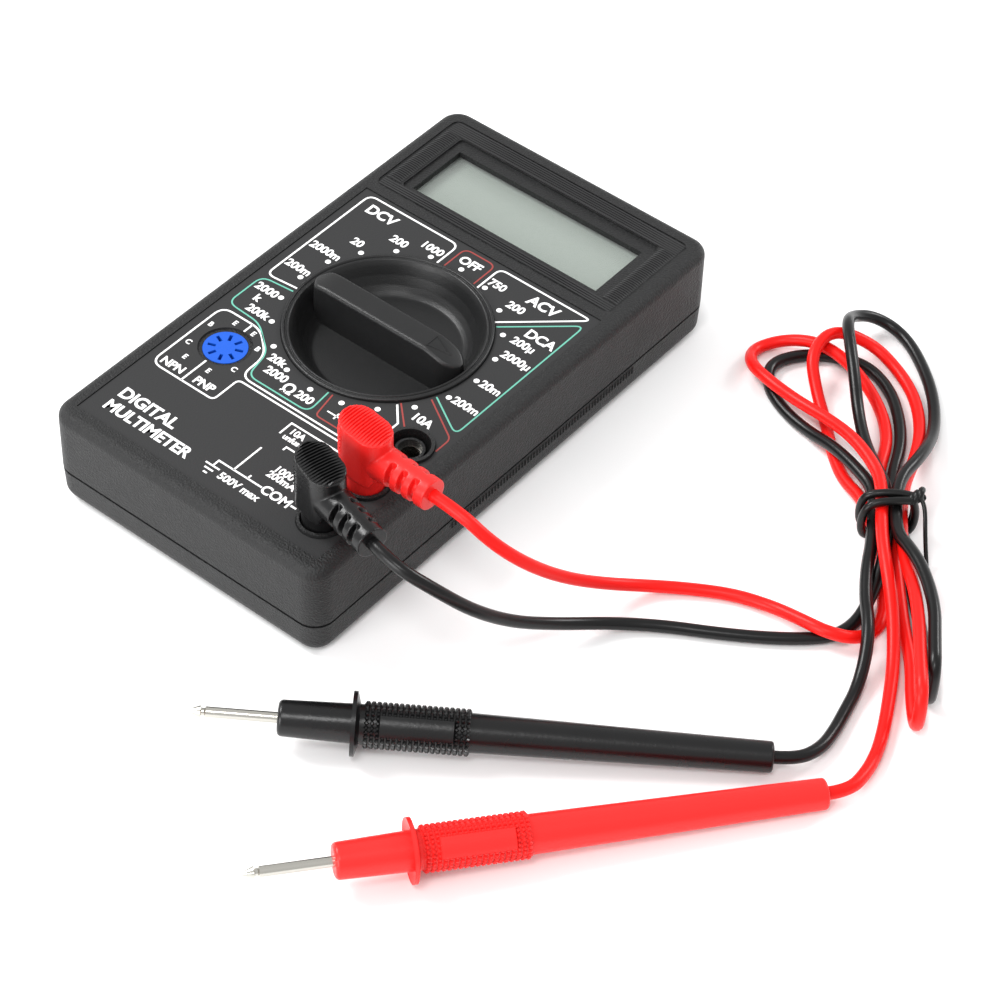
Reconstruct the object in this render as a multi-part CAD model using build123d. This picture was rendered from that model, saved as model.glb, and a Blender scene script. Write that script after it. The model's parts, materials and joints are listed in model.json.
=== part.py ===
"""Pocket digital multimeter with two plugged-in test leads.

Millimetres. Origin: centre of the case's footprint on the table. +Z is up through the
display, +Y points at the display end, +X at the side where the three jacks are.
"""
import os
from math import cos, sin, pi, radians, tan

from build123d import *

# ---------------------------------------------------------------- driving dimensions
# case
CASE_W = 70.0                # X
CASE_L = 124.6               # Y
CASE_H = 23.4                # Z, flat top of the front case
PLAN_R = 4.6                 # corner radius in plan
TOP_R = 2.2                  # rounding of the top edge
SPLIT_Z = 8.5                # parting plane of the two shells
WALL = 2.2                   # side walls
PLATE = 2.2                  # front plate
FLOOR = 2.0                  # rear case floor
REAR_R = 3.4                 # rounding of the bottom edge
REAR_TAPER = 3.0             # degrees, draft of the rear case
GROOVE_H = 0.6               # shadow groove at the parting plane
GROOVE_D = 0.5
EASE = 0.1                   # gap between two pieces that are laid together

# front face
LABEL_W = 62.8
LABEL_Y0, LABEL_Y1 = -58.0, 28.8
LABEL_T = 0.4
LABEL_SINK = 0.2             # label face under the flat top
RIB_Y0, RIB_Y1 = 31.3, 58.6  # recessed ribbed field round the display
RIB_SINK = 0.3
BEZEL_W, BEZEL_D = 53.4, 19.9
BEZEL_Y = 44.5
BEZEL_SINK = 0.8
WINDOW_W, WINDOW_D = 49.0, 15.6
WINDOW_Y = 43.5

# display stack
LENS_T = 1.0
LENS_MARGIN = 1.6
LCD_W, LCD_D, LCD_T = 54.0, 22.0, 2.6
LCD_WALL = 2.4
ZEBRA_T = 1.8

# range switch
KNOB_Y = -1.0
KNOB_R = 21.6                # rim
KNOB_GAP = 0.1               # running clearance in the front plate
KNOB_RISE = 0.5              # rim over the flat top
RIM_W = 1.5
DISH_WALL = 4.7              # run of the curved wall between the rim and the flat floor
DISH_DROP = 5.7              # dish floor under the flat top
DISH_T = 1.8
FLANGE_R = 23.6
FLANGE_T = 4.0
BAR_W = 5.8
BAR_FOOT = 0.6               # extra half width at the foot of the grip bar
BAR_RISE = 3.4               # bar over the flat top
BAR_BACK_GAP, BAR_TIP_GAP = 3.0, 2.3   # ends of the bar inside the rim's outer edge
BAR_SLOPE = 7.0              # length of the falling nose
BAR_NOSE_DROP = 1.6
DETENTS = 20
CREST_R = 24.3               # inner radius of the detent ring
NOTCH_R = 0.9
RING_T = 1.8
BALL_R = 1.5
BALL_GAP = 0.05
SPRING_R, SPRING_WIRE, SPRING_L = 1.1, 0.3, 3.0
SPRING_TURNS = 4
WIPER_RADII = (6.0, 9.5, 13.0)
WIPER_W, WIPER_T = 2.0, 0.25

# circuit board
BOARD_TOP = 10.9
BOARD_T = 1.6
BOARD_EDGE = 0.8             # board edge to the case wall
TONGUE_X = 19.4              # left edge of the strip that carries the jacks
BOARD_Y0 = -31.8             # lower edge of the main part
SCREW_R = 1.1                # board screws
SCREW_HEAD_R, SCREW_HEAD_T = 2.1, 1.4
BOARD_SCREWS = ((-28.6, 27.5), (28.6, 27.5), (5.0, -29.4))
CASE_SCREW_R = 1.3
CASE_HEAD_R, CASE_HEAD_T = 2.5, 1.8
CASE_SCREW_SINK = 1.0
CASE_SCREWS = ((-28.5, -18.0), (28.5, -11.5))
BOSS_WALL = 1.3
THREAD_GAP = 0.02
SCREW_BITE = 6.0

# input jacks
JACK_X = 25.2
JACK_Y = {"jack_10a": -23.8, "jack_vohm": -36.8, "jack_com": -49.8}
PIN_R = 1.95                 # 4 mm test plug
BORE_GAP = 0.05
SLEEVE_WALL = 0.45
POST_WALL = 0.55
WELL_R = 4.2                 # ring shaped well round the post
WELL_WALL = 1.0
WELL_FLOOR_Z = 12.4
WELL_FLOOR_T = 1.2
COLLAR_RISE = 0.5
COLLAR_W = 0.7
SLEEVE_FOOT_Z = 8.0
SLEEVE_SINK = 1.4            # sleeve under the top of its post
POST_SINK = 0.8              # post under the flat top

# transistor socket
SOCKET_X, SOCKET_Y = -21.0, -26.4
SOCKET_R = 4.6
SOCKET_LIP_R = 5.6
SOCKET_SINK = 0.3
SOCKET_HOLES = 8
SOCKET_HOLE_RING = 2.9
SOCKET_SLOT = (1.7, 0.7)     # radial length and width of a contact slot

# battery compartment
BATTERY_L, BATTERY_D, BATTERY_H = 46.0, 26.2, 17.2
BATTERY_X0, BATTERY_Y0 = -31.6, -59.0
STUD_L, STUD_R, STUD_PITCH = 2.2, 3.0, 12.7
SNAP_T, SNAP_W, SNAP_H = 1.0, 24.0, 13.0
WIRE_R = 0.6

# small parts on the back of the board
FUSE_R, FUSE_L = 2.6, 20.0
FUSE_X, FUSE_Y = 8.0, 4.0
RESISTOR_R, RESISTOR_L, LEAD_R = 1.1, 6.2, 0.3
RESISTORS = ((-24, 20), (-24, 15), (-24, 10), (-24, 5), (-11, 20), (-11, 15), (-11, 10), (-11, 5))
CAPACITORS = ((4, 20), (12, 20), (20, 20))
CAP_L, CAP_W, CAP_H = 5.6, 2.4, 4.6

# test plugs, in the plug's own frame: axis of the pin on Z, cord leaving along +X
SHROUD_R = 3.85
SHROUD_GAP = 0.2             # round the post
SHROUD_FOOT_GAP = 0.4        # over the floor of the well
PIN_FOOT_Z = 9.2
NECK_RISE = 3.6              # over the flat top, where the shroud widens into the thumb body
HEAD_RISE = 15.2             # thumb pad over the flat top
HEAD_HALF_L, HEAD_HALF_W = 5.7, 3.95
HEAD_TILT = 8.0              # degrees, thumb pad falling towards the cord
BOOT_RISE = 8.4              # axis of the strain relief over the flat top
BOOT_END = 17.1              # from the pin axis
BOOT_R0, BOOT_R1 = 3.75, 3.3
BOOT_SLOTS = 3
SLOT_W, SLOT_PITCH, SLOT_DEPTH = 1.3, 2.9, 1.4
SPINE_W = 2.2                # left uncut along the top and the underside
PLUG_YAW = {"red": -2.0, "black": -14.6}
PLUG_JACK = {"red": "jack_vohm", "black": "jack_com"}
PULL = 16.0                  # travel that frees a plug from its jack

# probes, along their own axis from the rear end
PROBE_L = 92.5               # rear end to the front of the barrel
PROBE_REAR_R, PROBE_MID_R = 3.0, 3.75
GRIP_AT, GRIP_L, GRIP_R = 56.5, 20.0, 4.0
GUARD_AT, GUARD_R, GUARD_T = 78.0, 6.15, 0.8
GUARD_LEAN = 0.7             # rim of the guard in front of its foot
BARREL_R0, BARREL_R1 = 3.8, 3.45
REAR_ROUND, NOSE_ROUND = 0.6, 0.9
PROBE_CLEAR = 0.15           # over the table
TIP_R, TIP_L, TIP_POINT, TIP_SET = 1.05, 17.0, 2.6, 10.0
PROBES = {
    # rear end and heading in plan
    "black": (116.46, -26.57, 216.5),
    "red": (129.03, -27.25, 232.0),
}

# cords
CORD_R = 1.3
EXIT_RUN = 7.0               # straight out of the strain relief
ENTRY_RUN = 4.5              # straight into the probe

os.makedirs("parts", exist_ok=True)


def save(shape, name):
    export_step(shape, f"parts/{name}.step")


def group(solids):
    return Compound(children=list(solids))


def slab(width, depth, height, z0, x=0.0, y=0.0, radius=0.0):
    """Upright block on z0, with rounded corners in plan where a radius is given."""
    outline = Rectangle(width, depth) if radius <= 0 else RectangleRounded(width, depth, radius)
    return Pos(x, y, z0) * extrude(outline, height)


def post(radius, z0, z1, x=0.0, y=0.0):
    return Pos(x, y, z0) * extrude(Circle(radius), z1 - z0)


def tube(outer, inner, z0, z1, x=0.0, y=0.0):
    return Pos(x, y, z0) * extrude(Circle(outer) - Circle(inner), z1 - z0)


def turned(points):
    """Solid of revolution about Z from (radius, z) points."""
    face = make_face(Polyline([(r, 0, z) for r, z in points], close=True))
    return revolve(face, Axis.Z)


# ---------------------------------------------------------------- sizes worked out
PLATE_UNDER = CASE_H - PLATE
INNER_W, INNER_L = CASE_W - 2 * WALL, CASE_L - 2 * WALL
INNER_R = PLAN_R - WALL
LABEL_L = LABEL_Y1 - LABEL_Y0
LABEL_Y = (LABEL_Y1 + LABEL_Y0) / 2
LABEL_TOP = CASE_H - LABEL_SINK
BOARD_UNDER = BOARD_TOP - BOARD_T
BORE_R = PIN_R + BORE_GAP
SLEEVE_R = BORE_R + SLEEVE_WALL
POST_IN_R = SLEEVE_R + 0.05
POST_R = POST_IN_R + POST_WALL
BOSS_R = SCREW_R + BOSS_WALL
CASE_BOSS_R = CASE_SCREW_R + BOSS_WALL + 0.2
POST_TOP_Z = CASE_H - POST_SINK
SLEEVE_TOP_Z = POST_TOP_Z - SLEEVE_SINK
SHROUD_FOOT_Z = WELL_FLOOR_Z + SHROUD_FOOT_GAP
NECK_Z = CASE_H + NECK_RISE
HEAD_TOP_Z = CASE_H + HEAD_RISE
BOOT_Z = CASE_H + BOOT_RISE
KNOB_HOLE_R = KNOB_R + KNOB_GAP
DISH_R = KNOB_R - RIM_W - DISH_WALL
BAR_BACK, BAR_TIP = KNOB_R - BAR_BACK_GAP, KNOB_R - BAR_TIP_GAP
FLANGE_TOP = PLATE_UNDER - KNOB_GAP
FLANGE_FOOT = FLANGE_TOP - FLANGE_T
DISH_Z = CASE_H - DISH_DROP
KNOB_FOOT = DISH_Z - DISH_T
BALL_Z = FLANGE_TOP - FLANGE_T / 2
BALL_AT = CREST_R - BALL_GAP - BALL_R
SLOT_IN_R = BALL_AT - BALL_R - SPRING_L
SOCKET_TOP = LABEL_TOP - SOCKET_SINK


# ---------------------------------------------------------------- case
def jack_well(x, y):
    """Ring shaped well, open at the top, with a hollow post that holds the sleeve."""
    well = tube(WELL_R + WELL_WALL, WELL_R, WELL_FLOOR_Z, PLATE_UNDER, x, y)
    floor = tube(WELL_R + WELL_WALL, POST_IN_R, WELL_FLOOR_Z - WELL_FLOOR_T, WELL_FLOOR_Z, x, y)
    stem = tube(POST_R, POST_IN_R, WELL_FLOOR_Z, POST_TOP_Z, x, y)
    collar = tube(WELL_R + COLLAR_W, WELL_R, PLATE_UNDER, CASE_H + COLLAR_RISE, x, y)
    return well + floor + stem + collar


def detent_ring():
    ring = tube(CREST_R + RING_T, CREST_R, FLANGE_FOOT, PLATE_UNDER, 0, KNOB_Y)
    for step in range(DETENTS):
        turn = 2 * pi * step / DETENTS
        x = CREST_R * cos(turn)
        y = KNOB_Y + CREST_R * sin(turn)
        ring -= post(NOTCH_R, FLANGE_FOOT - 1, PLATE_UNDER, x, y)
    return ring


def front_case():
    shell = slab(CASE_W, CASE_L, CASE_H - SPLIT_Z, SPLIT_Z, radius=PLAN_R)
    shell = fillet(shell.faces().sort_by(Axis.Z)[-1].edges(), TOP_R)
    shell -= slab(INNER_W, INNER_L, PLATE_UNDER - SPLIT_Z, SPLIT_Z, radius=INNER_R)
    shell -= slab(LABEL_W, LABEL_L, CASE_H, LABEL_TOP - LABEL_T, y=LABEL_Y)
    shell -= slab(LABEL_W, RIB_Y1 - RIB_Y0, CASE_H, CASE_H - RIB_SINK, y=(RIB_Y0 + RIB_Y1) / 2, radius=2)
    shell -= slab(BEZEL_W, BEZEL_D, CASE_H, CASE_H - BEZEL_SINK, y=BEZEL_Y, radius=1)
    shell -= slab(WINDOW_W, WINDOW_D, CASE_H, SPLIT_Z, y=WINDOW_Y)
    shell -= post(KNOB_HOLE_R, SPLIT_Z, 2 * CASE_H, 0, KNOB_Y)
    shell += detent_ring()
    for y in JACK_Y.values():
        shell -= post(WELL_R, SPLIT_Z, 2 * CASE_H, JACK_X, y)
        shell += jack_well(JACK_X, y)
    shell -= post(SOCKET_R + EASE, SPLIT_Z, 2 * CASE_H, SOCKET_X, SOCKET_Y)
    for x, y in BOARD_SCREWS:
        shell += post(BOSS_R, BOARD_TOP, PLATE_UNDER, x, y)
        shell -= post(SCREW_R + THREAD_GAP, BOARD_TOP, BOARD_TOP + SCREW_BITE, x, y)
    for x, y in CASE_SCREWS:
        shell += post(CASE_BOSS_R, BOARD_TOP, PLATE_UNDER, x, y)
        shell -= post(CASE_SCREW_R + THREAD_GAP, BOARD_TOP, BOARD_TOP + SCREW_BITE, x, y)
    return shell


def rear_case():
    outline = RectangleRounded(CASE_W, CASE_L, PLAN_R)
    shell = Pos(0, 0, SPLIT_Z) * extrude(outline, SPLIT_Z, dir=(0, 0, -1), taper=REAR_TAPER)
    shell = fillet(shell.faces().sort_by(Axis.Z)[0].edges(), REAR_R)
    rim = slab(CASE_W + 2, CASE_L + 2, GROOVE_H, SPLIT_Z - GROOVE_H, radius=PLAN_R)
    shell -= rim - slab(CASE_W - 2 * GROOVE_D, CASE_L - 2 * GROOVE_D, GROOVE_H, SPLIT_Z - GROOVE_H,
                        radius=PLAN_R - GROOVE_D)
    shell -= slab(INNER_W, INNER_L, SPLIT_Z, FLOOR, radius=INNER_R)
    for x, y in CASE_SCREWS:
        shell += post(CASE_HEAD_R + BOSS_WALL, FLOOR, CASE_SCREW_SINK + CASE_HEAD_T + 1.2, x, y)
        shell += post(CASE_BOSS_R, FLOOR, BOARD_TOP - EASE, x, y)
        shell -= post(CASE_HEAD_R + EASE, -1, CASE_SCREW_SINK + CASE_HEAD_T, x, y)
        shell -= post(CASE_SCREW_R + EASE, -1, BOARD_TOP, x, y)
    return shell


def case_screw(x, y):
    head_top = CASE_SCREW_SINK + CASE_HEAD_T
    screw = post(CASE_HEAD_R, CASE_SCREW_SINK, head_top, x, y)
    screw += post(CASE_SCREW_R, head_top, BOARD_TOP + SCREW_BITE - 0.5, x, y)
    for angle in (0, 90):
        screw -= Pos(x, y, CASE_SCREW_SINK) * Rot(0, 0, angle) * Box(2.6, 0.6, 1.2)
    return screw


def board_screw(x, y):
    screw = post(SCREW_HEAD_R, BOARD_UNDER - SCREW_HEAD_T, BOARD_UNDER, x, y)
    screw += post(SCREW_R, BOARD_UNDER, BOARD_TOP + SCREW_BITE - 0.5, x, y)
    for angle in (0, 90):
        screw -= Pos(x, y, BOARD_UNDER - SCREW_HEAD_T) * Rot(0, 0, angle) * Box(2.2, 0.5, 1.0)
    return screw


def label_panel():
    panel = slab(LABEL_W - 2 * EASE, LABEL_L - 2 * EASE, LABEL_T, LABEL_TOP - LABEL_T, y=LABEL_Y)
    panel -= post(KNOB_HOLE_R, 0, 2 * CASE_H, 0, KNOB_Y)
    panel -= post(SOCKET_LIP_R, 0, 2 * CASE_H, SOCKET_X, SOCKET_Y)
    for y in JACK_Y.values():
        panel -= post(WELL_R + COLLAR_W + EASE, 0, 2 * CASE_H, JACK_X, y)
    return panel


# ---------------------------------------------------------------- display
def display_lens():
    width, depth = WINDOW_W + 2 * LENS_MARGIN, WINDOW_D + 2 * LENS_MARGIN
    return slab(width, depth, LENS_T, PLATE_UNDER - LENS_T, y=WINDOW_Y)


def lcd_panel():
    top = PLATE_UNDER - LENS_T - EASE
    glass = slab(LCD_W, LCD_D, LCD_T / 2, top - LCD_T, y=WINDOW_Y)
    return glass + slab(LCD_W, LCD_D - 2.4, LCD_T / 2, top - LCD_T / 2, y=WINDOW_Y + 1.2)


def lcd_frame():
    top = PLATE_UNDER - LENS_T - EASE
    height = top - BOARD_TOP
    frame = slab(LCD_W + 2 * LCD_WALL, LCD_D + 2 * LCD_WALL, height, BOARD_TOP, y=WINDOW_Y)
    frame -= slab(LCD_W + 2 * EASE, LCD_D + 2 * EASE, height, top - LCD_T, y=WINDOW_Y)
    return frame - slab(LCD_W - 3, LCD_D - 3, height, BOARD_TOP - 1, y=WINDOW_Y)


def zebra_strip():
    top = PLATE_UNDER - LENS_T - EASE - LCD_T
    y = WINDOW_Y - LCD_D / 2 + 1.5 + ZEBRA_T / 2 + EASE
    return slab(LCD_W - 6, ZEBRA_T, top - BOARD_TOP, BOARD_TOP, y=y)


# ---------------------------------------------------------------- range switch
def grip_bar():
    """Tall bar across the dish, with a rounded nose that falls towards the pointer end."""
    z0 = DISH_Z - DISH_T / 2
    top = CASE_H + BAR_RISE
    half, foot = BAR_W / 2, BAR_W / 2 + BAR_FOOT
    section = make_face(Polyline([(-foot, z0), (foot, z0), (half, top), (-half, top)], close=True))
    bar = extrude(Plane.YZ * section, BAR_TIP + 5, both=True)
    side = make_face(Polyline([
        (-BAR_BACK - 1, z0), (BAR_TIP, z0), (BAR_TIP, top - BAR_NOSE_DROP),
        (BAR_TIP - BAR_SLOPE, top), (-BAR_BACK - 1, top)], close=True))
    bar &= extrude(Plane.XZ * side, foot + 1, both=True)
    plan = Pos((BAR_TIP - BAR_BACK) / 2, 0, 0) * SlotOverall(BAR_BACK + BAR_TIP, 2 * foot)
    return bar & extrude(Pos(0, 0, z0) * plan, top)


def range_knob():
    top = CASE_H + KNOB_RISE
    inner = KNOB_R - RIM_W
    dish = make_face(
        Polyline([(inner, 0, top), (KNOB_R, 0, top), (KNOB_R, 0, FLANGE_TOP), (FLANGE_R, 0, FLANGE_TOP),
                  (FLANGE_R, 0, FLANGE_FOOT), (DISH_R, 0, KNOB_FOOT), (0, 0, KNOB_FOOT), (0, 0, DISH_Z),
                  (DISH_R, 0, DISH_Z)])
        + ThreePointArc((DISH_R, 0, DISH_Z), ((DISH_R + inner) / 2 + 0.7, 0, (DISH_Z + top) / 2 - 0.9),
                        (inner, 0, top)))
    knob = revolve(dish, Axis.Z)
    knob += grip_bar()
    for side in (0, 180):
        bore = Pos(SLOT_IN_R, 0, BALL_Z) * Rot(0, 90, 0) * extrude(Circle(BALL_R + BALL_GAP), FLANGE_R)
        knob -= Rot(0, 0, side) * bore
    return Pos(0, KNOB_Y, 0) * knob


def detent_balls():
    return [Pos(s * BALL_AT, KNOB_Y, BALL_Z) * Sphere(BALL_R) for s in (-1, 1)]


def detent_springs():
    """Coil springs that lie along X behind the balls."""
    reach = SPRING_L - SPRING_WIRE - 2 * EASE
    path = Helix(reach / SPRING_TURNS, reach, SPRING_R)
    coil = sweep(Plane(path @ 0, z_dir=path % 0) * Circle(SPRING_WIRE / 2), path, is_frenet=True)
    laid = Pos(SLOT_IN_R + SPRING_WIRE / 2 + EASE, 0, BALL_Z) * Rot(0, 90, 0) * coil
    return [Pos(0, KNOB_Y, 0) * Rot(0, 0, side) * laid for side in (0, 180)]


def wiper(radius):
    """Bent contact strip: held under the knob, its middle sliding on the board."""
    foot, head = BOARD_TOP + 0.05, KNOB_FOOT
    line = [(-4, head), (-4, head - WIPER_T), (-2.6, head - WIPER_T), (-0.6, foot), (0.6, foot),
            (3, foot + 2), (2.8, foot + 2 + WIPER_T), (0.5, foot + WIPER_T), (-0.5, foot + WIPER_T),
            (-2.5, head)]
    strip = extrude(Plane.XZ * make_face(Polyline(line, close=True)), WIPER_W / 2, both=True)
    return Pos(0, KNOB_Y + radius, 0) * strip


# ---------------------------------------------------------------- board and its parts
def circuit_board():
    half_w = INNER_W / 2 - BOARD_EDGE
    top_y = INNER_L / 2 - BOARD_EDGE
    board = slab(2 * half_w, top_y - BOARD_Y0, BOARD_T, BOARD_UNDER, y=(top_y + BOARD_Y0) / 2)
    board += slab(half_w - TONGUE_X, top_y + BOARD_Y0, BOARD_T, BOARD_UNDER,
                  (half_w + TONGUE_X) / 2, (BOARD_Y0 - top_y) / 2)
    for x, y in BOARD_SCREWS:
        board -= post(SCREW_R + EASE, 0, CASE_H, x, y)
    for x, y in CASE_SCREWS:
        board -= post(CASE_BOSS_R + 2 * EASE, 0, CASE_H, x, y)
    for y in JACK_Y.values():
        board -= post(SLEEVE_R, 0, CASE_H, JACK_X, y)
    return board


def jack_sleeve(y):
    return tube(SLEEVE_R, BORE_R, SLEEVE_FOOT_Z, SLEEVE_TOP_Z, JACK_X, y)


def socket_slot(step, z0, z1, grow=0.0):
    length, width = SOCKET_SLOT
    angle = 360 * (step + 0.5) / SOCKET_HOLES
    cut = Pos(SOCKET_HOLE_RING, 0, z0) * extrude(Rectangle(length + grow, width + grow), z1 - z0)
    return Pos(SOCKET_X, SOCKET_Y, 0) * Rot(0, 0, angle) * cut


def transistor_socket():
    socket = post(SOCKET_R, BOARD_TOP, SOCKET_TOP, SOCKET_X, SOCKET_Y)
    for step in range(SOCKET_HOLES):
        socket -= socket_slot(step, BOARD_TOP, SOCKET_TOP)
    return socket


def socket_contacts():
    return [socket_slot(step, BOARD_TOP, SOCKET_TOP - 3, -2 * EASE) for step in range(SOCKET_HOLES)]


def converter_chip():
    dome = Sphere(12) & Pos(0, 0, 12 - 1.4 + 5) * Box(30, 30, 10)
    return Pos(0, WINDOW_Y + 2, BOARD_TOP - 10.6) * dome


def resistor(x, y):
    z = BOARD_UNDER - RESISTOR_R - 0.3
    body = Pos(x, y, z) * Rot(0, 90, 0) * Cylinder(RESISTOR_R, RESISTOR_L)
    for s in (-1, 1):
        reach = x + s * (RESISTOR_L / 2 + 1)
        body += Pos(x + s * (RESISTOR_L / 2 + 0.5), y, z) * Rot(0, 90, 0) * Cylinder(0.8 * LEAD_R, 1.3)
        body += post(LEAD_R, z - 1.2 * LEAD_R, BOARD_UNDER, reach, y)
    return body


def capacitor(x, y):
    body = slab(CAP_L, CAP_W, CAP_H, BOARD_UNDER - CAP_H - 0.8, x, y, radius=0.9)
    for s in (-1, 1):
        body += post(LEAD_R, BOARD_UNDER - CAP_H / 2, BOARD_UNDER, x + s * CAP_L / 4, y)
    return body


def trimmer():
    body = slab(6.6, 6.6, 3.4, BOARD_UNDER - 3.4, -22, -6)
    return body - Pos(-22, -6, BOARD_UNDER - 3.4) * Box(3.4, 0.7, 1.4)


def shunt_wire():
    """Thick bridge from the 10 A jack to the board, on its rear side."""
    x, y = JACK_X - 4.4, JACK_Y["jack_10a"]
    drop = BOARD_UNDER - 4
    path = FilletPolyline((x, y, BOARD_UNDER), (x, y, drop), (x, y - 14, drop), (x, y - 14, BOARD_UNDER),
                          radius=1.8)
    return sweep(Plane(path @ 0, z_dir=path % 0) * Circle(0.8), path)


def fuse():
    z = BOARD_UNDER - 0.9 - FUSE_R
    tube_part = Pos(FUSE_X, FUSE_Y, z) * Rot(0, 90, 0) * Cylinder(FUSE_R - 0.15, FUSE_L)
    for s in (-1, 1):
        tube_part += Pos(FUSE_X + s * (FUSE_L / 2 - 2.5), FUSE_Y, z) * Rot(0, 90, 0) * Cylinder(FUSE_R, 5)
    return tube_part


def fuse_clip(side):
    """U shaped clip that grips one end cap and stands on the board."""
    z = BOARD_UNDER - 0.9 - FUSE_R
    x = FUSE_X + side * (FUSE_L / 2 - 2.5)
    height = BOARD_UNDER - z + FUSE_R * 0.5
    block = Pos(x, FUSE_Y, BOARD_UNDER - height / 2) * Box(3.4, 2 * (FUSE_R + 0.5), height)
    block -= Pos(x, FUSE_Y, z) * Rot(0, 90, 0) * Cylinder(FUSE_R + 0.02, 8)
    return block - Pos(x, FUSE_Y, z - FUSE_R) * Box(8, 2 * FUSE_R - 1.2, 2 * FUSE_R)


def battery():
    y = BATTERY_Y0 + BATTERY_D / 2
    z = FLOOR + EASE
    can = slab(BATTERY_L, BATTERY_D, BATTERY_H, z, BATTERY_X0 + BATTERY_L / 2, y)
    can = fillet(can.edges().filter_by(Axis.X), 1.6)
    for s in (-1, 1):
        stud = Rot(0, 90, 0) * Cylinder(STUD_R, STUD_L)
        can += Pos(BATTERY_X0 + BATTERY_L + STUD_L / 2, y + s * STUD_PITCH / 2, z + BATTERY_H / 2) * stud
    return can


def battery_snap():
    x = BATTERY_X0 + BATTERY_L + STUD_L
    y = BATTERY_Y0 + BATTERY_D / 2
    z = FLOOR + EASE + BATTERY_H / 2
    return Pos(x + SNAP_T / 2, y, z) * Box(SNAP_T, SNAP_W, SNAP_H)


def battery_wire(drop, shift):
    """Short wire from the edge of the snap, under the board's lower edge and up to the board."""
    x = BATTERY_X0 + BATTERY_L + STUD_L + SNAP_T / 2
    y = BATTERY_Y0 + BATTERY_D / 2 + SNAP_W / 2
    z = BOARD_UNDER - drop
    path = FilletPolyline((x, y, z), (x, BOARD_Y0 + 2, z), (x - shift, BOARD_Y0 + 5, z),
                          (x - shift, BOARD_Y0 + 5, BOARD_UNDER), radius=1.2)
    return sweep(Plane(path @ 0, z_dir=path % 0) * Circle(WIRE_R), path)


# ---------------------------------------------------------------- test plugs
def stadium(half_length, half_width):
    return SlotOverall(2 * half_length, 2 * half_width)


def plug_boot():
    """Tapering strain relief, slotted on both sides between a spine on top and one beneath."""
    boot = Rot(0, 90, 0) * Cone(BOOT_R0, BOOT_R1, BOOT_END, align=(Align.CENTER, Align.CENTER, Align.MIN))
    core = BOOT_R1 - SLOT_DEPTH
    for step in range(BOOT_SLOTS):
        x = BOOT_END - (step + 1) * SLOT_PITCH
        slots = Box(SLOT_W, 4 * BOOT_R0, 4 * BOOT_R0) - Box(2 * SLOT_W, SPINE_W, 8 * BOOT_R0)
        slots -= Rot(0, 90, 0) * Cylinder(core, 2 * SLOT_W)
        boot -= Pos(x, 0, 0) * slots
    return Pos(0, 0, BOOT_Z) * boot


def plug_head():
    """Thumb body: a stadium in plan that narrows to the shroud below, with a tilted top."""
    reach = HEAD_HALF_L + 1
    side = make_face(Polyline([
        (-SHROUD_R, NECK_Z), (SHROUD_R, NECK_Z), (HEAD_HALF_L, BOOT_Z), (reach, BOOT_Z), (reach, HEAD_TOP_Z + 2),
        (-reach, HEAD_TOP_Z + 2), (-reach, BOOT_Z), (-HEAD_HALF_L, BOOT_Z)], close=True))
    head = Pos(0, 0, NECK_Z - 1) * extrude(stadium(HEAD_HALF_L, HEAD_HALF_W), HEAD_TOP_Z + 3 - NECK_Z)
    head &= extrude(Plane.XZ * side, 2 * HEAD_HALF_W, both=True)
    return head - Pos(0, 0, HEAD_TOP_Z) * Rot(0, HEAD_TILT, 0) * slab(30, 30, 10, 0)


def plug_body():
    """Shroud, thumb body and strain relief moulded in one piece round the pin."""
    shroud = post(SHROUD_R, SHROUD_FOOT_Z, NECK_Z + 1)
    shroud -= post(POST_R + SHROUD_GAP, 0, CASE_H + COLLAR_RISE)
    body = shroud + plug_head() + plug_boot()
    return body - post(PIN_R, 0, NECK_Z)


def plug_pin():
    """4 mm pin with a rounded end and a shallow waist for its spring cage."""
    pin = post(PIN_R, PIN_FOOT_Z, NECK_Z)
    pin = fillet(pin.faces().sort_by(Axis.Z)[0].edges(), 0.8)
    return pin - tube(3, PIN_R - 0.25, PIN_FOOT_Z + 3, PIN_FOOT_Z + 4)


def placed_plug(shape, colour):
    return Pos(JACK_X, JACK_Y[PLUG_JACK[colour]], 0) * Rot(0, 0, PLUG_YAW[colour]) * shape


# ---------------------------------------------------------------- probes
def probe_handle():
    """Long tapering handle, grip, thin finger guard and short front barrel, along +X."""
    rim = GUARD_AT + GUARD_LEAN
    profile = [(0, 0), (PROBE_REAR_R, 0), (PROBE_MID_R, GRIP_AT), (GRIP_R, GRIP_AT), (GRIP_R, GRIP_AT + GRIP_L),
               (BARREL_R0, GRIP_AT + GRIP_L), (BARREL_R0, GUARD_AT - GUARD_T), (GUARD_R, rim - GUARD_T),
               (GUARD_R, rim), (BARREL_R0, GUARD_AT), (BARREL_R1, PROBE_L), (TIP_R, PROBE_L),
               (TIP_R, PROBE_L - TIP_SET), (0, PROBE_L - TIP_SET)]
    handle = turned(profile)
    rings = handle.edges().filter_by(GeomType.CIRCLE)
    rear = [ring for ring in rings if abs(ring.center().Z) < 1e-4]
    handle = fillet(rear, REAR_ROUND)
    nose = [ring for ring in handle.edges().filter_by(GeomType.CIRCLE)
            if abs(ring.center().Z - PROBE_L) < 1e-4 and ring.radius > TIP_R + 0.01]
    return Rot(0, 90, 0) * fillet(nose, NOSE_ROUND)


def probe_tip():
    """Round pin with a sharp end behind a short necked groove."""
    start, end = PROBE_L - TIP_SET, PROBE_L + TIP_L
    neck = end - TIP_POINT - 1.0
    profile = [(0, start), (TIP_R, start), (TIP_R, neck), (TIP_R * 0.7, neck + 0.3), (TIP_R * 0.7, neck + 0.8),
               (TIP_R * 1.15, neck + 1.0), (0.12, end), (0, end)]
    return Rot(0, 90, 0) * turned(profile)


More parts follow.
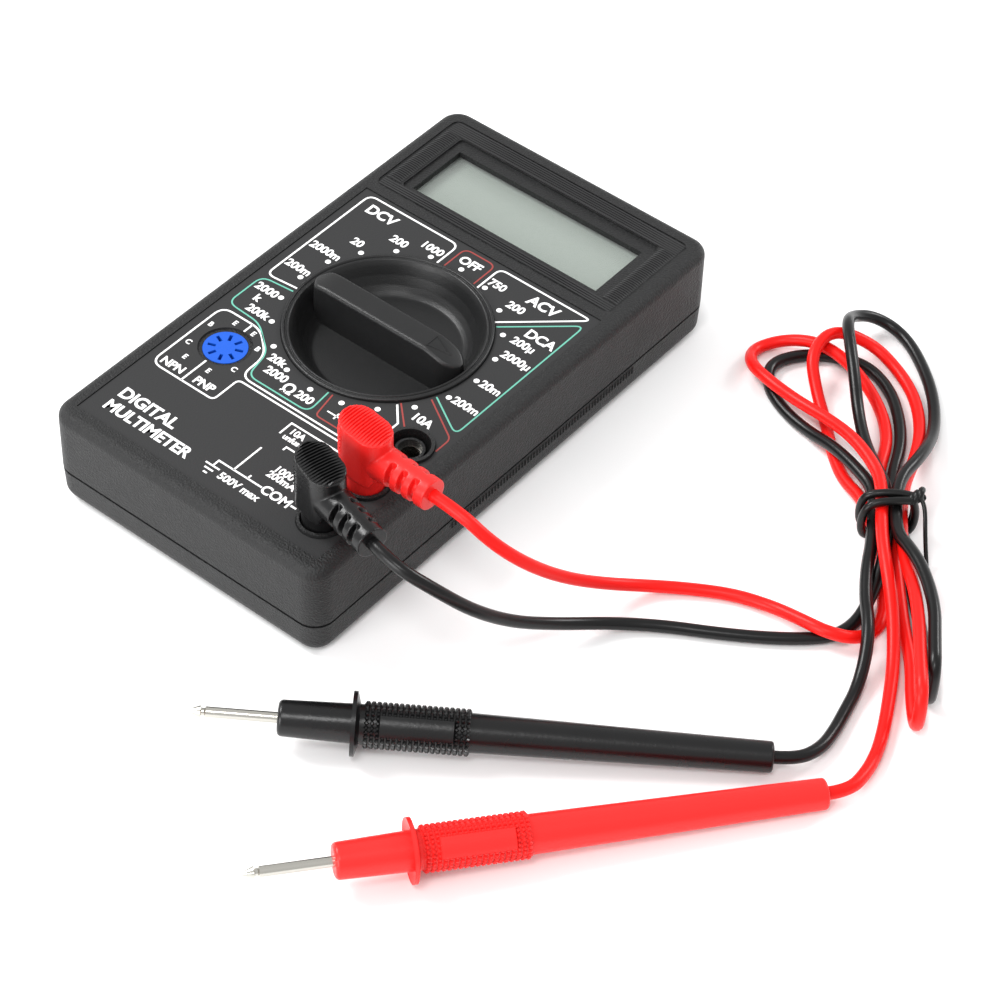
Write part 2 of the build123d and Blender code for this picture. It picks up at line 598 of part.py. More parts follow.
def probe_lift():
    """Angle that brings the rear end and the guard down onto the table together."""
    return -(GUARD_R - PROBE_REAR_R) / (GUARD_AT + GUARD_LEAN) * 180 / pi


def placed_probe(shape, colour):
    x, y, heading = PROBES[colour]
    return Pos(x, y, PROBE_REAR_R + PROBE_CLEAR) * Rot(0, 0, heading) * Rot(0, probe_lift(), 0) * shape


# ---------------------------------------------------------------- cords
# Centre line from the plug's strain relief to the rear of the probe.
RED_ROUTE = [
    (56.2, -36.2, 27.0), (60.6, -30.6, 19.6), (63.6, -22.6, 11.6), (66.8, -14.2, 5.4), (72.0, -6.4, 2.0),
    (78.4, -1.2, 1.4), (86.0, 3.2, 1.4), (94.0, 5.2, 1.8), (101.0, 4.6, 3.6), (106.6, 4.6, 4.3),
    (111.0, 8.0, 2.6), (112.7, 13.4, 1.4), (110.6, 19.0, 1.4), (106.0, 24.4, 1.6),
    # under the tie and round the upper loop
    (101.6, 30.4, 2.9), (91.1, 39.7, 2.9), (83.9, 42.8, 1.5), (77.6, 48.0, 1.4), (71.6, 54.2, 1.4),
    (65.6, 59.2, 2.6), (59.8, 64.6, 6.2), (59.6, 72.8, 7.4), (66.2, 78.2, 3.4), (73.8, 77.0, 1.6),
    (81.6, 72.4, 1.4), (87.9, 65.2, 1.5), (92.6, 55.8, 3.3), (96.6, 44.5, 5.6),
    # hairpin below the tie
    (104.4, 32.9, 5.6), (110.1, 26.1, 8.0), (116.0, 19.8, 10.2), (121.6, 12.6, 11.6), (127.1, 4.8, 11.8),
    (132.9, -3.0, 11.8), (132.9, -3.0, 1.4), (127.5, 3.4, 1.4), (122.5, 10.8, 1.4), (116.2, 17.4, 1.4),
    (110.6, 24.1, 1.6), (103.6, 32.2, 2.9),
    # wide low loop, then back to the probe
    (93.1, 41.6, 2.9), (88.0, 49.7, 1.5), (84.8, 57.6, 1.4), (79.4, 63.8, 1.4), (72.2, 68.0, 2.6),
    (64.6, 70.0, 4.2), (57.4, 70.2, 4.2), (50.6, 68.0, 2.0), (47.2, 62.0, 1.4), (50.4, 56.4, 3.4),
    (57.6, 53.8, 4.4), (65.2, 52.8, 4.4), (73.2, 51.4, 5.8), (80.8, 48.8, 7.8), (87.4, 45.7, 8.3),
    (93.5, 41.8, 8.3), (101.2, 30.1, 8.3), (108.3, 22.3, 7.4), (114.6, 15.6, 4.6), (120.4, 7.6, 1.8),
    (124.8, -0.4, 1.4), (128.0, -6.8, 1.4), (130.1, -12.0, 1.5), (131.6, -17.9, 2.3),
]
BLACK_ROUTE = [
    (55.4, -52.2, 27.0), (59.8, -46.4, 19.6), (63.0, -38.0, 11.6), (66.6, -28.2, 5.4), (72.4, -18.9, 2.0),
    (80.4, -12.4, 1.4), (89.4, -7.2, 1.4), (97.0, -2.2, 1.4), (102.8, 2.4, 1.4), (107.0, 6.8, 1.4),
    (108.3, 12.4, 1.4), (107.4, 18.4, 2.8), (105.3, 24.7, 4.9),
    # under the tie and round the tall loop
    (102.3, 31.0, 5.6), (94.6, 42.8, 5.6), (88.7, 46.9, 5.2), (82.8, 51.6, 4.6), (76.8, 57.8, 5.0),
    (72.0, 63.0, 7.8), (67.4, 68.0, 9.4), (62.4, 73.7, 9.8), (59.7, 79.4, 6.4), (61.7, 85.2, 3.6),
    (67.4, 86.8, 1.8), (74.2, 83.8, 1.4), (83.8, 75.9, 1.4), (91.0, 65.6, 2.4), (94.8, 54.1, 6.9),
    (95.6, 43.7, 8.3),
    # hairpin below the tie
    (103.3, 31.9, 8.3), (109.4, 28.0, 10.8), (115.0, 24.2, 11.4), (121.8, 17.6, 11.8), (126.3, 10.9, 11.8),
    (131.0, 4.0, 11.8), (131.0, 4.0, 1.4), (125.9, 11.5, 1.4), (119.8, 18.4, 1.4), (112.6, 25.8, 1.6),
    (105.7, 34.0, 2.9),
    # low loop, then back to the probe
    (95.2, 43.4, 2.9), (90.8, 50.7, 1.5), (87.4, 58.8, 1.4), (82.2, 65.6, 1.4), (76.0, 71.0, 1.4),
    (68.6, 73.8, 1.4), (61.4, 71.6, 1.4), (55.6, 67.0, 1.4), (52.6, 60.8, 1.4), (56.2, 55.0, 1.4),
    (63.2, 51.2, 1.4), (71.2, 49.0, 2.0), (78.6, 46.8, 4.4), (85.8, 44.0, 5.4), (92.6, 41.0, 5.6),
    (100.1, 29.1, 5.6), (103.4, 22.4, 5.8), (107.6, 16.0, 5.2), (112.0, 10.8, 5.5), (115.6, 5.0, 3.8),
    (118.2, -1.4, 1.5), (119.6, -7.4, 1.4), (120.9, -12.9, 1.5), (121.7, -18.6, 2.3),
]


def boot_exit(colour):
    """Where the cord leaves the strain relief, and a point a little further out."""
    points = [placed_plug(Pos(BOOT_END + s, 0, BOOT_Z) * Vertex(0, 0, 0), colour) for s in (0, EXIT_RUN)]
    return [Vector(p.center()) for p in points]


def probe_entry(colour):
    """Where the cord goes into the rear end of the probe, and a point behind it."""
    points = [placed_probe(Pos(-s, 0, 0) * Vertex(0, 0, 0), colour) for s in (ENTRY_RUN, 0)]
    return [Vector(p.center()) for p in points]


def corner_radii(points):
    radii = []
    for before, here, after in zip(points, points[1:], points[2:]):
        run_in, run_out = here - before, after - here
        turn = radians(run_in.get_angle(run_out))
        radii.append(0.45 * min(run_in.length, run_out.length) / tan(turn / 2))
    return radii


def cord(colour, route):
    points = boot_exit(colour) + [Vector(*p) for p in route] + probe_entry(colour)
    radii = corner_radii(points)
    path = FilletPolyline(*points, radius=radii)
    solid = sweep(Plane(path @ 0, z_dir=path % 0) * Circle(CORD_R), path)
    share = solid.volume / (path.length * pi * CORD_R ** 2)
    print(colour, "cord: length", round(path.length, 1), "tightest", round(min(radii), 2),
          "volume over section times length", round(share, 4))
    print("  radii", [round(r, 1) for r in radii])
    return solid


# ---------------------------------------------------------------- tie
TIE_AT = (98.4, 36.9)
TIE_HEADING = -48.7
TIE_R = 0.75
TIE_TURNS = (-1.4, 1.4)
TIE_HALF_W, TIE_HALF_H = 5.2, 4.9
TIE_BEND = 2.6               # corners of a turn
KNOT_R = 2.0
TIE_Z = TIE_HALF_H + TIE_R


def tie_turn(along):
    """One flat turn, open where its two ends run into the twist."""
    low, high = TIE_Z - TIE_HALF_H, TIE_Z + TIE_HALF_H
    path = FilletPolyline((along, TIE_HALF_W - 2.2, high), (along, -TIE_HALF_W, high), (along, -TIE_HALF_W, low),
                          (along, TIE_HALF_W, low), (along, TIE_HALF_W, high - 1.2), radius=TIE_BEND)
    return sweep(Plane(path @ 0, z_dir=path % 0) * Circle(TIE_R), path)


def twist_tie():
    """Two flat turns of coated wire round the bundle, joined by the twist on top."""
    knot = Pos(0, TIE_HALF_W - 0.8, TIE_Z + TIE_HALF_H - 0.4) * Sphere(KNOT_R)
    tie = tie_turn(TIE_TURNS[0]) + tie_turn(TIE_TURNS[1]) + knot
    return Pos(*TIE_AT, 0) * Rot(0, 0, TIE_HEADING) * tie


# ---------------------------------------------------------------- build
def main():
    save(front_case(), "front_case")
    save(rear_case(), "rear_case")
    save(group(case_screw(x, y) for x, y in CASE_SCREWS), "case_screws")
    save(group(board_screw(x, y) for x, y in BOARD_SCREWS), "board_screws")
    save(label_panel(), "label_panel")
    save(display_lens(), "display_lens")
    save(lcd_panel(), "lcd_panel")
    save(lcd_frame(), "lcd_frame")
    save(zebra_strip(), "zebra_strip")
    save(range_knob(), "range_knob")
    save(group(detent_balls()), "detent_balls")
    save(group(detent_springs()), "detent_springs")
    save(group(wiper(r) for r in WIPER_RADII), "wiper_contacts")
    save(circuit_board(), "circuit_board")
    for name, y in JACK_Y.items():
        save(jack_sleeve(y), name)
    save(transistor_socket(), "transistor_socket")
    save(group(socket_contacts()), "socket_contacts")
    save(converter_chip(), "converter_chip")
    save(group(resistor(x, y) for x, y in RESISTORS), "resistors")
    save(group(capacitor(x, y) for x, y in CAPACITORS), "capacitors")
    save(trimmer(), "trimmer")
    save(shunt_wire(), "shunt_wire")
    save(fuse(), "fuse")
    save(group(fuse_clip(s) for s in (-1, 1)), "fuse_clips")
    save(battery(), "battery")
    save(battery_snap(), "battery_snap")
    save(battery_wire(4.0, 5.0), "battery_wire_red")
    save(battery_wire(2.0, 1.5), "battery_wire_black")
    for colour, route in (("red", RED_ROUTE), ("black", BLACK_ROUTE)):
        save(placed_plug(plug_body(), colour), f"{colour}_plug_body")
        save(placed_plug(plug_pin(), colour), f"{colour}_plug_pin")
        save(placed_probe(probe_handle(), colour), f"{colour}_probe_handle")
        save(placed_probe(probe_tip(), colour), f"{colour}_probe_tip")
        save(cord(colour, route), f"{colour}_cord")
    save(twist_tie(), "twist_tie")


main()
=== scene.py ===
import json
from math import cos, pi, radians, sin

import bmesh
import bpy
from mathutils import Matrix, Vector

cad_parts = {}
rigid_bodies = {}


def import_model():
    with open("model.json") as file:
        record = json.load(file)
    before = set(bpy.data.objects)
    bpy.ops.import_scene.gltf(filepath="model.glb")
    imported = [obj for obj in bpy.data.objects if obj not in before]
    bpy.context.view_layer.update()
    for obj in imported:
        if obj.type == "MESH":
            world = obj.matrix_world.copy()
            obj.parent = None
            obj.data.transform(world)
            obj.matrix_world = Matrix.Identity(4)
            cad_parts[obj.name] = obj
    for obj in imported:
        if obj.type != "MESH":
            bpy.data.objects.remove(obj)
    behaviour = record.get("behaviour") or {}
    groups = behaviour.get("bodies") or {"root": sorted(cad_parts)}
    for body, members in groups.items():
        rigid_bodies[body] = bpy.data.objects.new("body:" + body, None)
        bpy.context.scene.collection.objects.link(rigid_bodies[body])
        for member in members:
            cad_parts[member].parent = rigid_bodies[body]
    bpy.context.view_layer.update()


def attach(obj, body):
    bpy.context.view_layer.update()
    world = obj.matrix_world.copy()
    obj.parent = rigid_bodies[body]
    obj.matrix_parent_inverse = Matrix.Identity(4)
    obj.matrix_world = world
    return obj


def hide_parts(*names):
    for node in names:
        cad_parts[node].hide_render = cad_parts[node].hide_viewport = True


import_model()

MM = 0.001


def mm(*values):
    """A point given in millimetres, in metres."""
    return Vector(values) * MM


def at(x, y, z):
    """A shift given in millimetres."""
    return Matrix.Translation(mm(x, y, z))


def spun(degrees, axis):
    """A turn about one axis."""
    return Matrix.Rotation(radians(degrees), 4, axis)


def placed(name, data):
    """A new object with this data, in the scene."""
    made = bpy.data.objects.new(name, data)
    bpy.context.scene.collection.objects.link(made)
    return made


# ---------------------------------------------------------------- sizes, millimetres
CASE_W, CASE_TOP = 70.0, 23.4
LABEL_TOP = 23.2
KNOB_Y = -1.0
JACK_X = 25.2
JACK_Y = {"red": -36.8, "black": -49.8}
PLUG_YAW = {"red": -2.0, "black": -14.6}
BOOT_Z, BOOT_END = 31.8, 17.1
CORD_R = 1.3
EXIT_RUN, ENTRY_RUN = 7.0, 4.5
PROBE_REAR_R, GUARD_AT, GUARD_R, GUARD_LEAN = 3.0, 78.0, 6.15, 0.7
PROBE_CLEAR = 0.15
# x and y of each probe's rear end, and its heading in degrees
PROBES = {"black": (116.46, -26.57, 216.5), "red": (129.03, -27.25, 232.0)}


def plug_place(colour):
    """Placement of a test plug: pin axis on Z, cord leaving along +X."""
    return at(JACK_X, JACK_Y[colour], 0) @ spun(PLUG_YAW[colour], "Z")


def probe_place(colour):
    """Placement of a probe: its axis on +X from the rear end, resting on the rear end and the guard."""
    x, y, heading = PROBES[colour]
    lift = -(GUARD_R - PROBE_REAR_R) / (GUARD_AT + GUARD_LEAN)
    return at(x, y, PROBE_REAR_R + PROBE_CLEAR) @ spun(heading, "Z") @ Matrix.Rotation(lift, 4, "Y")


# ---------------------------------------------------------------- camera
CAMERA_AZIMUTH, CAMERA_HEIGHT, CAMERA_ROLL = 37.639, 46.053, 2.22
CAMERA_LENS, CAMERA_SENSOR = 116.41, 36.0
CAMERA_AIM = mm(33.956, -5.862, 0)
CAMERA_REACH = 0.65113
NEAREST, FARTHEST = 0.01, 20.0


def camera():
    azimuth, height, roll = radians(CAMERA_AZIMUTH), radians(CAMERA_HEIGHT), radians(CAMERA_ROLL)
    back = Vector((sin(azimuth) * cos(height), -cos(azimuth) * cos(height), sin(height)))
    level = Vector((cos(azimuth), sin(azimuth), 0))
    rise = back.cross(level)
    right = level * cos(roll) + rise * sin(roll)
    up = rise * cos(roll) - level * sin(roll)
    data = bpy.data.cameras.new("product_camera")
    data.lens = CAMERA_LENS
    data.sensor_width = CAMERA_SENSOR
    data.clip_start = NEAREST
    data.clip_end = FARTHEST
    rig = placed("product_camera", data)
    axes = Matrix((right, up, back)).transposed().to_4x4()
    rig.matrix_world = Matrix.Translation(CAMERA_AIM + back * CAMERA_REACH) @ axes
    bpy.context.scene.camera = rig


camera()

# ---------------------------------------------------------------- cord routes, millimetres
RED_ROUTE = [
    (56.2, -36.2, 27.0), (60.6, -30.6, 19.6), (63.6, -22.6, 11.6), (66.8, -14.2, 5.4), (72.0, -6.4, 2.0),
    (78.4, -1.2, 1.4), (86.0, 3.2, 1.4), (94.0, 5.2, 1.8), (101.0, 4.6, 3.6), (106.6, 4.6, 4.3),
    (111.0, 8.0, 2.6), (112.7, 13.4, 1.4), (110.6, 19.0, 1.4), (106.0, 24.4, 1.6),
    # under the tie and round the upper loop
    (101.6, 30.4, 2.9), (91.1, 39.7, 2.9), (83.9, 42.8, 1.5), (77.6, 48.0, 1.4), (71.6, 54.2, 1.4),
    (65.6, 59.2, 2.6), (59.8, 64.6, 6.2), (59.6, 72.8, 7.4), (66.2, 78.2, 3.4), (73.8, 77.0, 1.6),
    (81.6, 72.4, 1.4), (87.9, 65.2, 1.5), (92.6, 55.8, 3.3), (96.6, 44.5, 5.6),
    # hairpin below the tie
    (104.4, 32.9, 5.6), (110.1, 26.1, 8.0), (116.0, 19.8, 10.2), (121.6, 12.6, 11.6), (127.1, 4.8, 11.8),
    (132.9, -3.0, 11.8), (132.9, -3.0, 1.4), (127.5, 3.4, 1.4), (122.5, 10.8, 1.4), (116.2, 17.4, 1.4),
    (110.6, 24.1, 1.6), (103.6, 32.2, 2.9),
    # wide low loop, then back to the probe
    (93.1, 41.6, 2.9), (88.0, 49.7, 1.5), (84.8, 57.6, 1.4), (79.4, 63.8, 1.4), (72.2, 68.0, 2.6),
    (64.6, 70.0, 4.2), (57.4, 70.2, 4.2), (50.6, 68.0, 2.0), (47.2, 62.0, 1.4), (50.4, 56.4, 3.4),
    (57.6, 53.8, 4.4), (65.2, 52.8, 4.4), (73.2, 51.4, 5.8), (80.8, 48.8, 7.8), (87.4, 45.7, 8.3),
    (93.5, 41.8, 8.3), (101.2, 30.1, 8.3), (108.3, 22.3, 7.4), (114.6, 15.6, 4.6), (120.4, 7.6, 1.8),
    (124.8, -0.4, 1.4), (128.0, -6.8, 1.4), (130.1, -12.0, 1.5), (131.6, -17.9, 2.3),
]
BLACK_ROUTE = [
    (55.4, -52.2, 27.0), (59.8, -46.4, 19.6), (63.0, -38.0, 11.6), (66.6, -28.2, 5.4), (72.4, -18.9, 2.0),
    (80.4, -12.4, 1.4), (89.4, -7.2, 1.4), (97.0, -2.2, 1.4), (102.8, 2.4, 1.4), (107.0, 6.8, 1.4),
    (108.3, 12.4, 1.4), (107.4, 18.4, 2.8), (105.3, 24.7, 4.9),
    # under the tie and round the tall loop
    (102.3, 31.0, 5.6), (94.6, 42.8, 5.6), (88.7, 46.9, 5.2), (82.8, 51.6, 4.6), (76.8, 57.8, 5.0),
    (72.0, 63.0, 7.8), (67.4, 68.0, 9.4), (62.4, 73.7, 9.8), (59.7, 79.4, 6.4), (61.7, 85.2, 3.6),
    (67.4, 86.8, 1.8), (74.2, 83.8, 1.4), (83.8, 75.9, 1.4), (91.0, 65.6, 2.4), (94.8, 54.1, 6.9),
    (95.6, 43.7, 8.3),
    # hairpin below the tie
    (103.3, 31.9, 8.3), (109.4, 28.0, 10.8), (115.0, 24.2, 11.4), (121.8, 17.6, 11.8), (126.3, 10.9, 11.8),
    (131.0, 4.0, 11.8), (131.0, 4.0, 1.4), (125.9, 11.5, 1.4), (119.8, 18.4, 1.4), (112.6, 25.8, 1.6),
    (105.7, 34.0, 2.9),
    # low loop, then back to the probe
    (95.2, 43.4, 2.9), (90.8, 50.7, 1.5), (87.4, 58.8, 1.4), (82.2, 65.6, 1.4), (76.0, 71.0, 1.4),
    (68.6, 73.8, 1.4), (61.4, 71.6, 1.4), (55.6, 67.0, 1.4), (52.6, 60.8, 1.4), (56.2, 55.0, 1.4),
    (63.2, 51.2, 1.4), (71.2, 49.0, 2.0), (78.6, 46.8, 4.4), (85.8, 44.0, 5.4), (92.6, 41.0, 5.6),
    (100.1, 29.1, 5.6), (103.4, 22.4, 5.8), (107.6, 16.0, 5.2), (112.0, 10.8, 5.5), (115.6, 5.0, 3.8),
    (118.2, -1.4, 1.5), (119.6, -7.4, 1.4), (120.9, -12.9, 1.5), (121.7, -18.6, 2.3),
]

# ---------------------------------------------------------------- materials
GRAIN_DETAIL = 3.0
# the slow change of gloss is this many times as wide as the grain
GLOSS_PATCH = 12


def finish(name, colour, roughness, **sockets):
    """A new node material with one shader; sockets are set on the shader itself."""
    material = bpy.data.materials.new(name)
    material.use_nodes = True
    shader = material.node_tree.nodes["Principled BSDF"]
    shader.inputs["Base Color"].default_value = (*colour, 1.0)
    shader.inputs["Roughness"].default_value = roughness
    for socket, value in sockets.items():
        shader.inputs[socket.replace("_", " ")].default_value = value
    return material


def moulded(name, colour, roughness, scale, depth, spread=0.0, **sockets):
    """A finish with fine grain in the bump and, where it has a spread, slow patches in the gloss."""
    material = finish(name, colour, roughness, **sockets)
    nodes, links = material.node_tree.nodes, material.node_tree.links
    shader = nodes["Principled BSDF"]
    place = nodes.new("ShaderNodeTexCoord")
    noise = nodes.new("ShaderNodeTexNoise")
    noise.inputs["Scale"].default_value = scale
    noise.inputs["Detail"].default_value = GRAIN_DETAIL
    links.new(place.outputs["Object"], noise.inputs["Vector"])
    bump = nodes.new("ShaderNodeBump")
    bump.inputs["Strength"].default_value = 1.0
    bump.inputs["Distance"].default_value = depth
    links.new(noise.outputs["Fac"], bump.inputs["Height"])
    links.new(bump.outputs["Normal"], shader.inputs["Normal"])
    if spread > 0:
        gloss = nodes.new("ShaderNodeMapRange")
        gloss.inputs["To Min"].default_value = roughness - spread
        gloss.inputs["To Max"].default_value = roughness + spread
        patches = nodes.new("ShaderNodeTexNoise")
        patches.inputs["Scale"].default_value = scale / GLOSS_PATCH
        links.new(place.outputs["Object"], patches.inputs["Vector"])
        links.new(patches.outputs["Fac"], gloss.inputs["Value"])
        links.new(gloss.outputs["Result"], shader.inputs["Roughness"])
    return material


# colour, roughness, grain scale, grain depth in metres, spread of the roughness
CASE_BLACK = moulded("case_black", (0.011, 0.0112, 0.0115), 0.48, 2300, 0.0003, 0.05,
                     Specular_IOR_Level=0.3)
# the fine ribs are the case plastic; the base colour lighter than case_black is a painted highlight along
# the ribs
RIB_BLACK = moulded("ribbed_black", (0.02, 0.0202, 0.0208), 0.34, 4200, 0.00003, Specular_IOR_Level=0.45)
LABEL_GREY = moulded("label_dark_grey", (0.026, 0.0262, 0.0268), 0.55, 3000, 0.00004,
                     Specular_IOR_Level=0.2)
PRINT_WHITE = moulded("print_white", (0.86, 0.86, 0.86), 0.5, 2500, 0.00001)
PRINT_GREEN = moulded("print_mint", (0.12, 0.42, 0.32), 0.5, 2500, 0.00001)
PRINT_RED = moulded("print_red", (0.27, 0.035, 0.03), 0.5, 2500, 0.00001)
KNOB_BLACK = moulded("knob_black", (0.008, 0.0082, 0.0085), 0.36, 5200, 0.00004, 0.05,
                     Specular_IOR_Level=0.38)
LENS_CLEAR = moulded("lens_clear", (0.95, 0.97, 0.96), 0.04, 60, 0.000004, Alpha=0.08, IOR=1.49)
LCD_GREEN = moulded("lcd_grey_green", (0.15, 0.186, 0.156), 0.45, 90, 0.000002, Specular_IOR_Level=0.2)
SOCKET_BLUE = moulded("socket_blue", (0.006, 0.085, 0.5), 0.4, 2600, 0.00002, 0.05,
                      Specular_IOR_Level=0.35)
NICKEL = moulded("nickel", (0.56, 0.545, 0.5), 0.22, 1600, 0.000006, 0.06, Metallic=1.0)
BRASS = moulded("brass_contact", (0.62, 0.45, 0.18), 0.3, 1600, 0.00001, 0.08, Metallic=1.0)
SPRING_STEEL = moulded("spring_steel", (0.5, 0.5, 0.52), 0.3, 2200, 0.00001, Metallic=1.0)
SCREW_ZINC = moulded("screw_zinc", (0.55, 0.55, 0.57), 0.34, 1800, 0.00002, 0.08, Metallic=1.0)
BOARD_GREEN = moulded("board_green", (0.02, 0.14, 0.05), 0.4, 900, 0.00003, 0.08)
EPOXY_BLACK = moulded("epoxy_black", (0.01, 0.01, 0.011), 0.25, 700, 0.00008)
RESISTOR_BLUE = moulded("resistor_lacquer", (0.2, 0.42, 0.6), 0.35, 1400, 0.00003)
CAPACITOR_BROWN = moulded("capacitor_dip", (0.42, 0.12, 0.03), 0.3, 900, 0.00006)
ZEBRA_PINK = moulded("zebra_rubber", (0.75, 0.5, 0.55), 0.6, 1200, 0.00003)
FUSE_GLASS = moulded("fuse_glass", (0.8, 0.85, 0.85), 0.06, 200, 0.00001, Transmission_Weight=0.6)
BATTERY_JACKET = moulded("battery_jacket", (0.06, 0.06, 0.08), 0.35, 900, 0.00002, Metallic=0.4)
LEAD_RED = moulded("lead_red", (0.78, 0.018, 0.016), 0.34, 1500, 0.00003, 0.06, Specular_IOR_Level=0.3)
LEAD_BLACK = moulded("lead_black", (0.0035, 0.0035, 0.0038), 0.28, 1500, 0.00003, 0.06,
                     Specular_IOR_Level=0.38)
CORD_RED = moulded("cord_red", (0.8, 0.007, 0.005), 0.36, 900, 0.00002, Specular_IOR_Level=0.22)
CORD_BLACK = moulded("cord_black", (0.0035, 0.0035, 0.0037), 0.3, 900, 0.00002, Specular_IOR_Level=0.3)
TIE_BLACK = moulded("tie_black", (0.0035, 0.0035, 0.0035), 0.32, 1200, 0.00004, Specular_IOR_Level=0.3)
LEAD_FINISH = {"red": LEAD_RED, "black": LEAD_BLACK}


def dress(piece, material):
    piece.data.materials.clear()
    piece.data.materials.append(material)
    return piece


# ---------------------------------------------------------------- cords
def round_line(name, points, radius, order, steps, facets):
    """A round wire as a curve guided by these points in metres, closed at both ends."""
    curve = bpy.data.curves.new(name, "CURVE")
    curve.dimensions = "3D"
    spline = curve.splines.new("NURBS")
    spline.points.add(len(points) - 1)
    for knot, point in zip(spline.points, points):
        knot.co = (*point, 1.0)
    spline.order_u = order
    spline.use_endpoint_u = True
    spline.resolution_u = steps
    curve.bevel_depth = radius * MM
    curve.bevel_resolution = facets
    curve.use_fill_caps = True
    return curve


def cord(colour, route, material):
    """One lead's cord: straight out of the strain relief, along its route, straight into the probe."""
    plug, probe = plug_place(colour), probe_place(colour)
    points = [plug @ mm(BOOT_END, 0, BOOT_Z), plug @ mm(BOOT_END + EXIT_RUN, 0, BOOT_Z)]
    points += [mm(*p) for p in route]
    points += [probe @ mm(-ENTRY_RUN, 0, 0), probe @ mm(0, 0, 0)]
    line = round_line(f"{colour}_cord_line", points, CORD_R, order=3, steps=10, facets=5)
    line.materials.append(material)
    piece = placed(f"{colour}_lead", line)
    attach(piece, "meter")
    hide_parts(f"{colour}_cord")
    return piece, points[0]


red_lead, red_exit = cord("red", RED_ROUTE, CORD_RED)
black_lead, black_exit = cord("black", BLACK_ROUTE, CORD_BLACK)


# ---------------------------------------------------------------- studio
FLOOR_SIZE, FLOOR_WHITE, FLOOR_ROUGHNESS = 8.0, (0.94, 0.94, 0.94), 0.7
WORLD_WHITE, WORLD_STRENGTH = (1.0, 1.0, 1.0, 1.0), 0.8
LIGHTS_AIM = Vector((0.03, 0, 0))
# name, place and width in metres, power in watts
SOFTBOXES = [
    ("key_light", (-0.75, -0.2, 0.9), 0.45, 11.0),
    ("front_light", (-0.1, -1.0, 0.35), 0.55, 7.0),
    ("high_light", (0.25, -0.62, 1.15), 0.3, 4.5),
    ("back_light", (0.3, 0.95, 0.6), 0.3, 4.0),
]


def studio():
    bpy.ops.mesh.primitive_plane_add(size=FLOOR_SIZE)
    floor = bpy.context.object
    floor.name = "studio_floor"
    dress(floor, finish("floor_white", FLOOR_WHITE, FLOOR_ROUGHNESS))
    world = bpy.data.worlds.new("studio_world")
    world.use_nodes = True
    background = world.node_tree.nodes["Background"]
    background.inputs["Color"].default_value = WORLD_WHITE
    background.inputs["Strength"].default_value = WORLD_STRENGTH
    bpy.context.scene.world = world
    bpy.context.scene.view_settings.view_transform = "Standard"
    for name, place, width, power in SOFTBOXES:
        softbox(name, place, width, power)


def softbox(name, place, width, power):
    light = bpy.data.lights.new(name, "AREA")
    light.energy = power
    light.size = width
    rig = placed(name, light)
    rig.location = place
    rig.rotation_euler = (LIGHTS_AIM - Vector(place)).to_track_quat("-Z", "Y").to_euler()


studio()


# ---------------------------------------------------------------- mesh helpers
# distances in metres within which points are one
SAME_POINT, SAME_CAD_POINT = 1e-7, 2e-6
SHARP_EDGE = radians(38)
# softened mouldings: size of the cells in millimetres, strength and rounds of smoothing
SOFT_CELL, SOFT_FACTOR, SOFT_ROUNDS = 0.17, 0.5, 4
# no ring of a turned form is smaller, so that its ends close
SMALLEST_R = 0.01
# share of a side that a rounded corner may take
CORNER_SHARE = 0.45


def piece_from(name, mesh, material, body):
    """A finished piece at the origin, riding on its body."""
    piece = placed(name, mesh)
    dress(piece, material)
    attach(piece, body)
    return piece


def mesh_from(name, build, smooth=True):
    """Runs a builder on an empty bmesh and turns the result into a mesh."""
    shape = bmesh.new()
    build(shape)
    bmesh.ops.remove_doubles(shape, verts=shape.verts, dist=SAME_POINT)
    bmesh.ops.recalc_face_normals(shape, faces=shape.faces)
    mesh = bpy.data.meshes.new(name)
    shape.to_mesh(mesh)
    shape.free()
    if smooth:
        mesh.shade_smooth()
        mesh.set_sharp_from_angle(angle=SHARP_EDGE)
    return mesh


def loft(shape, rings):
    """Skins a row of rings with the same number of points each, closed at both ends."""
    rows = [[shape.verts.new(p) for p in ring] for ring in rings]
    count = len(rows[0])
    for lower, upper in zip(rows, rows[1:]):
        for i in range(count):
            j = (i + 1) % count
            shape.faces.new((lower[i], lower[j], upper[j], upper[i]))
    shape.faces.new(rows[0][::-1])
    shape.faces.new(rows[-1])


def circle_points(radius, along, count, axis, centre):
    points = []
    for i in range(count):
        angle = 2 * pi * i / count
        a, b = centre[0] + radius * cos(angle), centre[1] + radius * sin(angle)
        points.append(mm(a, b, along) if axis == "Z" else mm(along, a, b))
    return points


def lathe(shape, profile, count, axis="Z", centre=(0.0, 0.0)):
    """Turned form from (radius, place) pairs, first to last, closed across its ends."""
    loft(shape, [circle_points(max(r, SMALLEST_R), along, count, axis, centre) for r, along in profile])


def rounded(points, radius, steps):
    """Softens the corners of an open row of flat points."""
    out = [points[0]]
    for before, here, after in zip(points, points[1:], points[2:]):
        p, a, b = Vector(here), Vector(before), Vector(after)
        reach = min(radius, (a - p).length * CORNER_SHARE, (b - p).length * CORNER_SHARE)
        start, end = p + (a - p).normalized() * reach, p + (b - p).normalized() * reach
        for i in range(steps + 1):
            t = i / steps
            out.append(tuple(start * (1 - t) ** 2 + p * 2 * t * (1 - t) + end * t ** 2))
    out.append(points[-1])
    return out


def applied(piece):
    """The evaluated object as a plain mesh, with its modifiers removed."""
    bpy.context.view_layer.update()
    graph = bpy.context.evaluated_depsgraph_get()
    mesh = bpy.data.meshes.new_from_object(piece.evaluated_get(graph), depsgraph=graph)
    piece.modifiers.clear()
    return mesh


def plain_mesh(name, data):
    """The mesh that this curve or text makes."""
    holder = placed(name, data)
    mesh = applied(holder)
    bpy.data.objects.remove(holder)
    return mesh


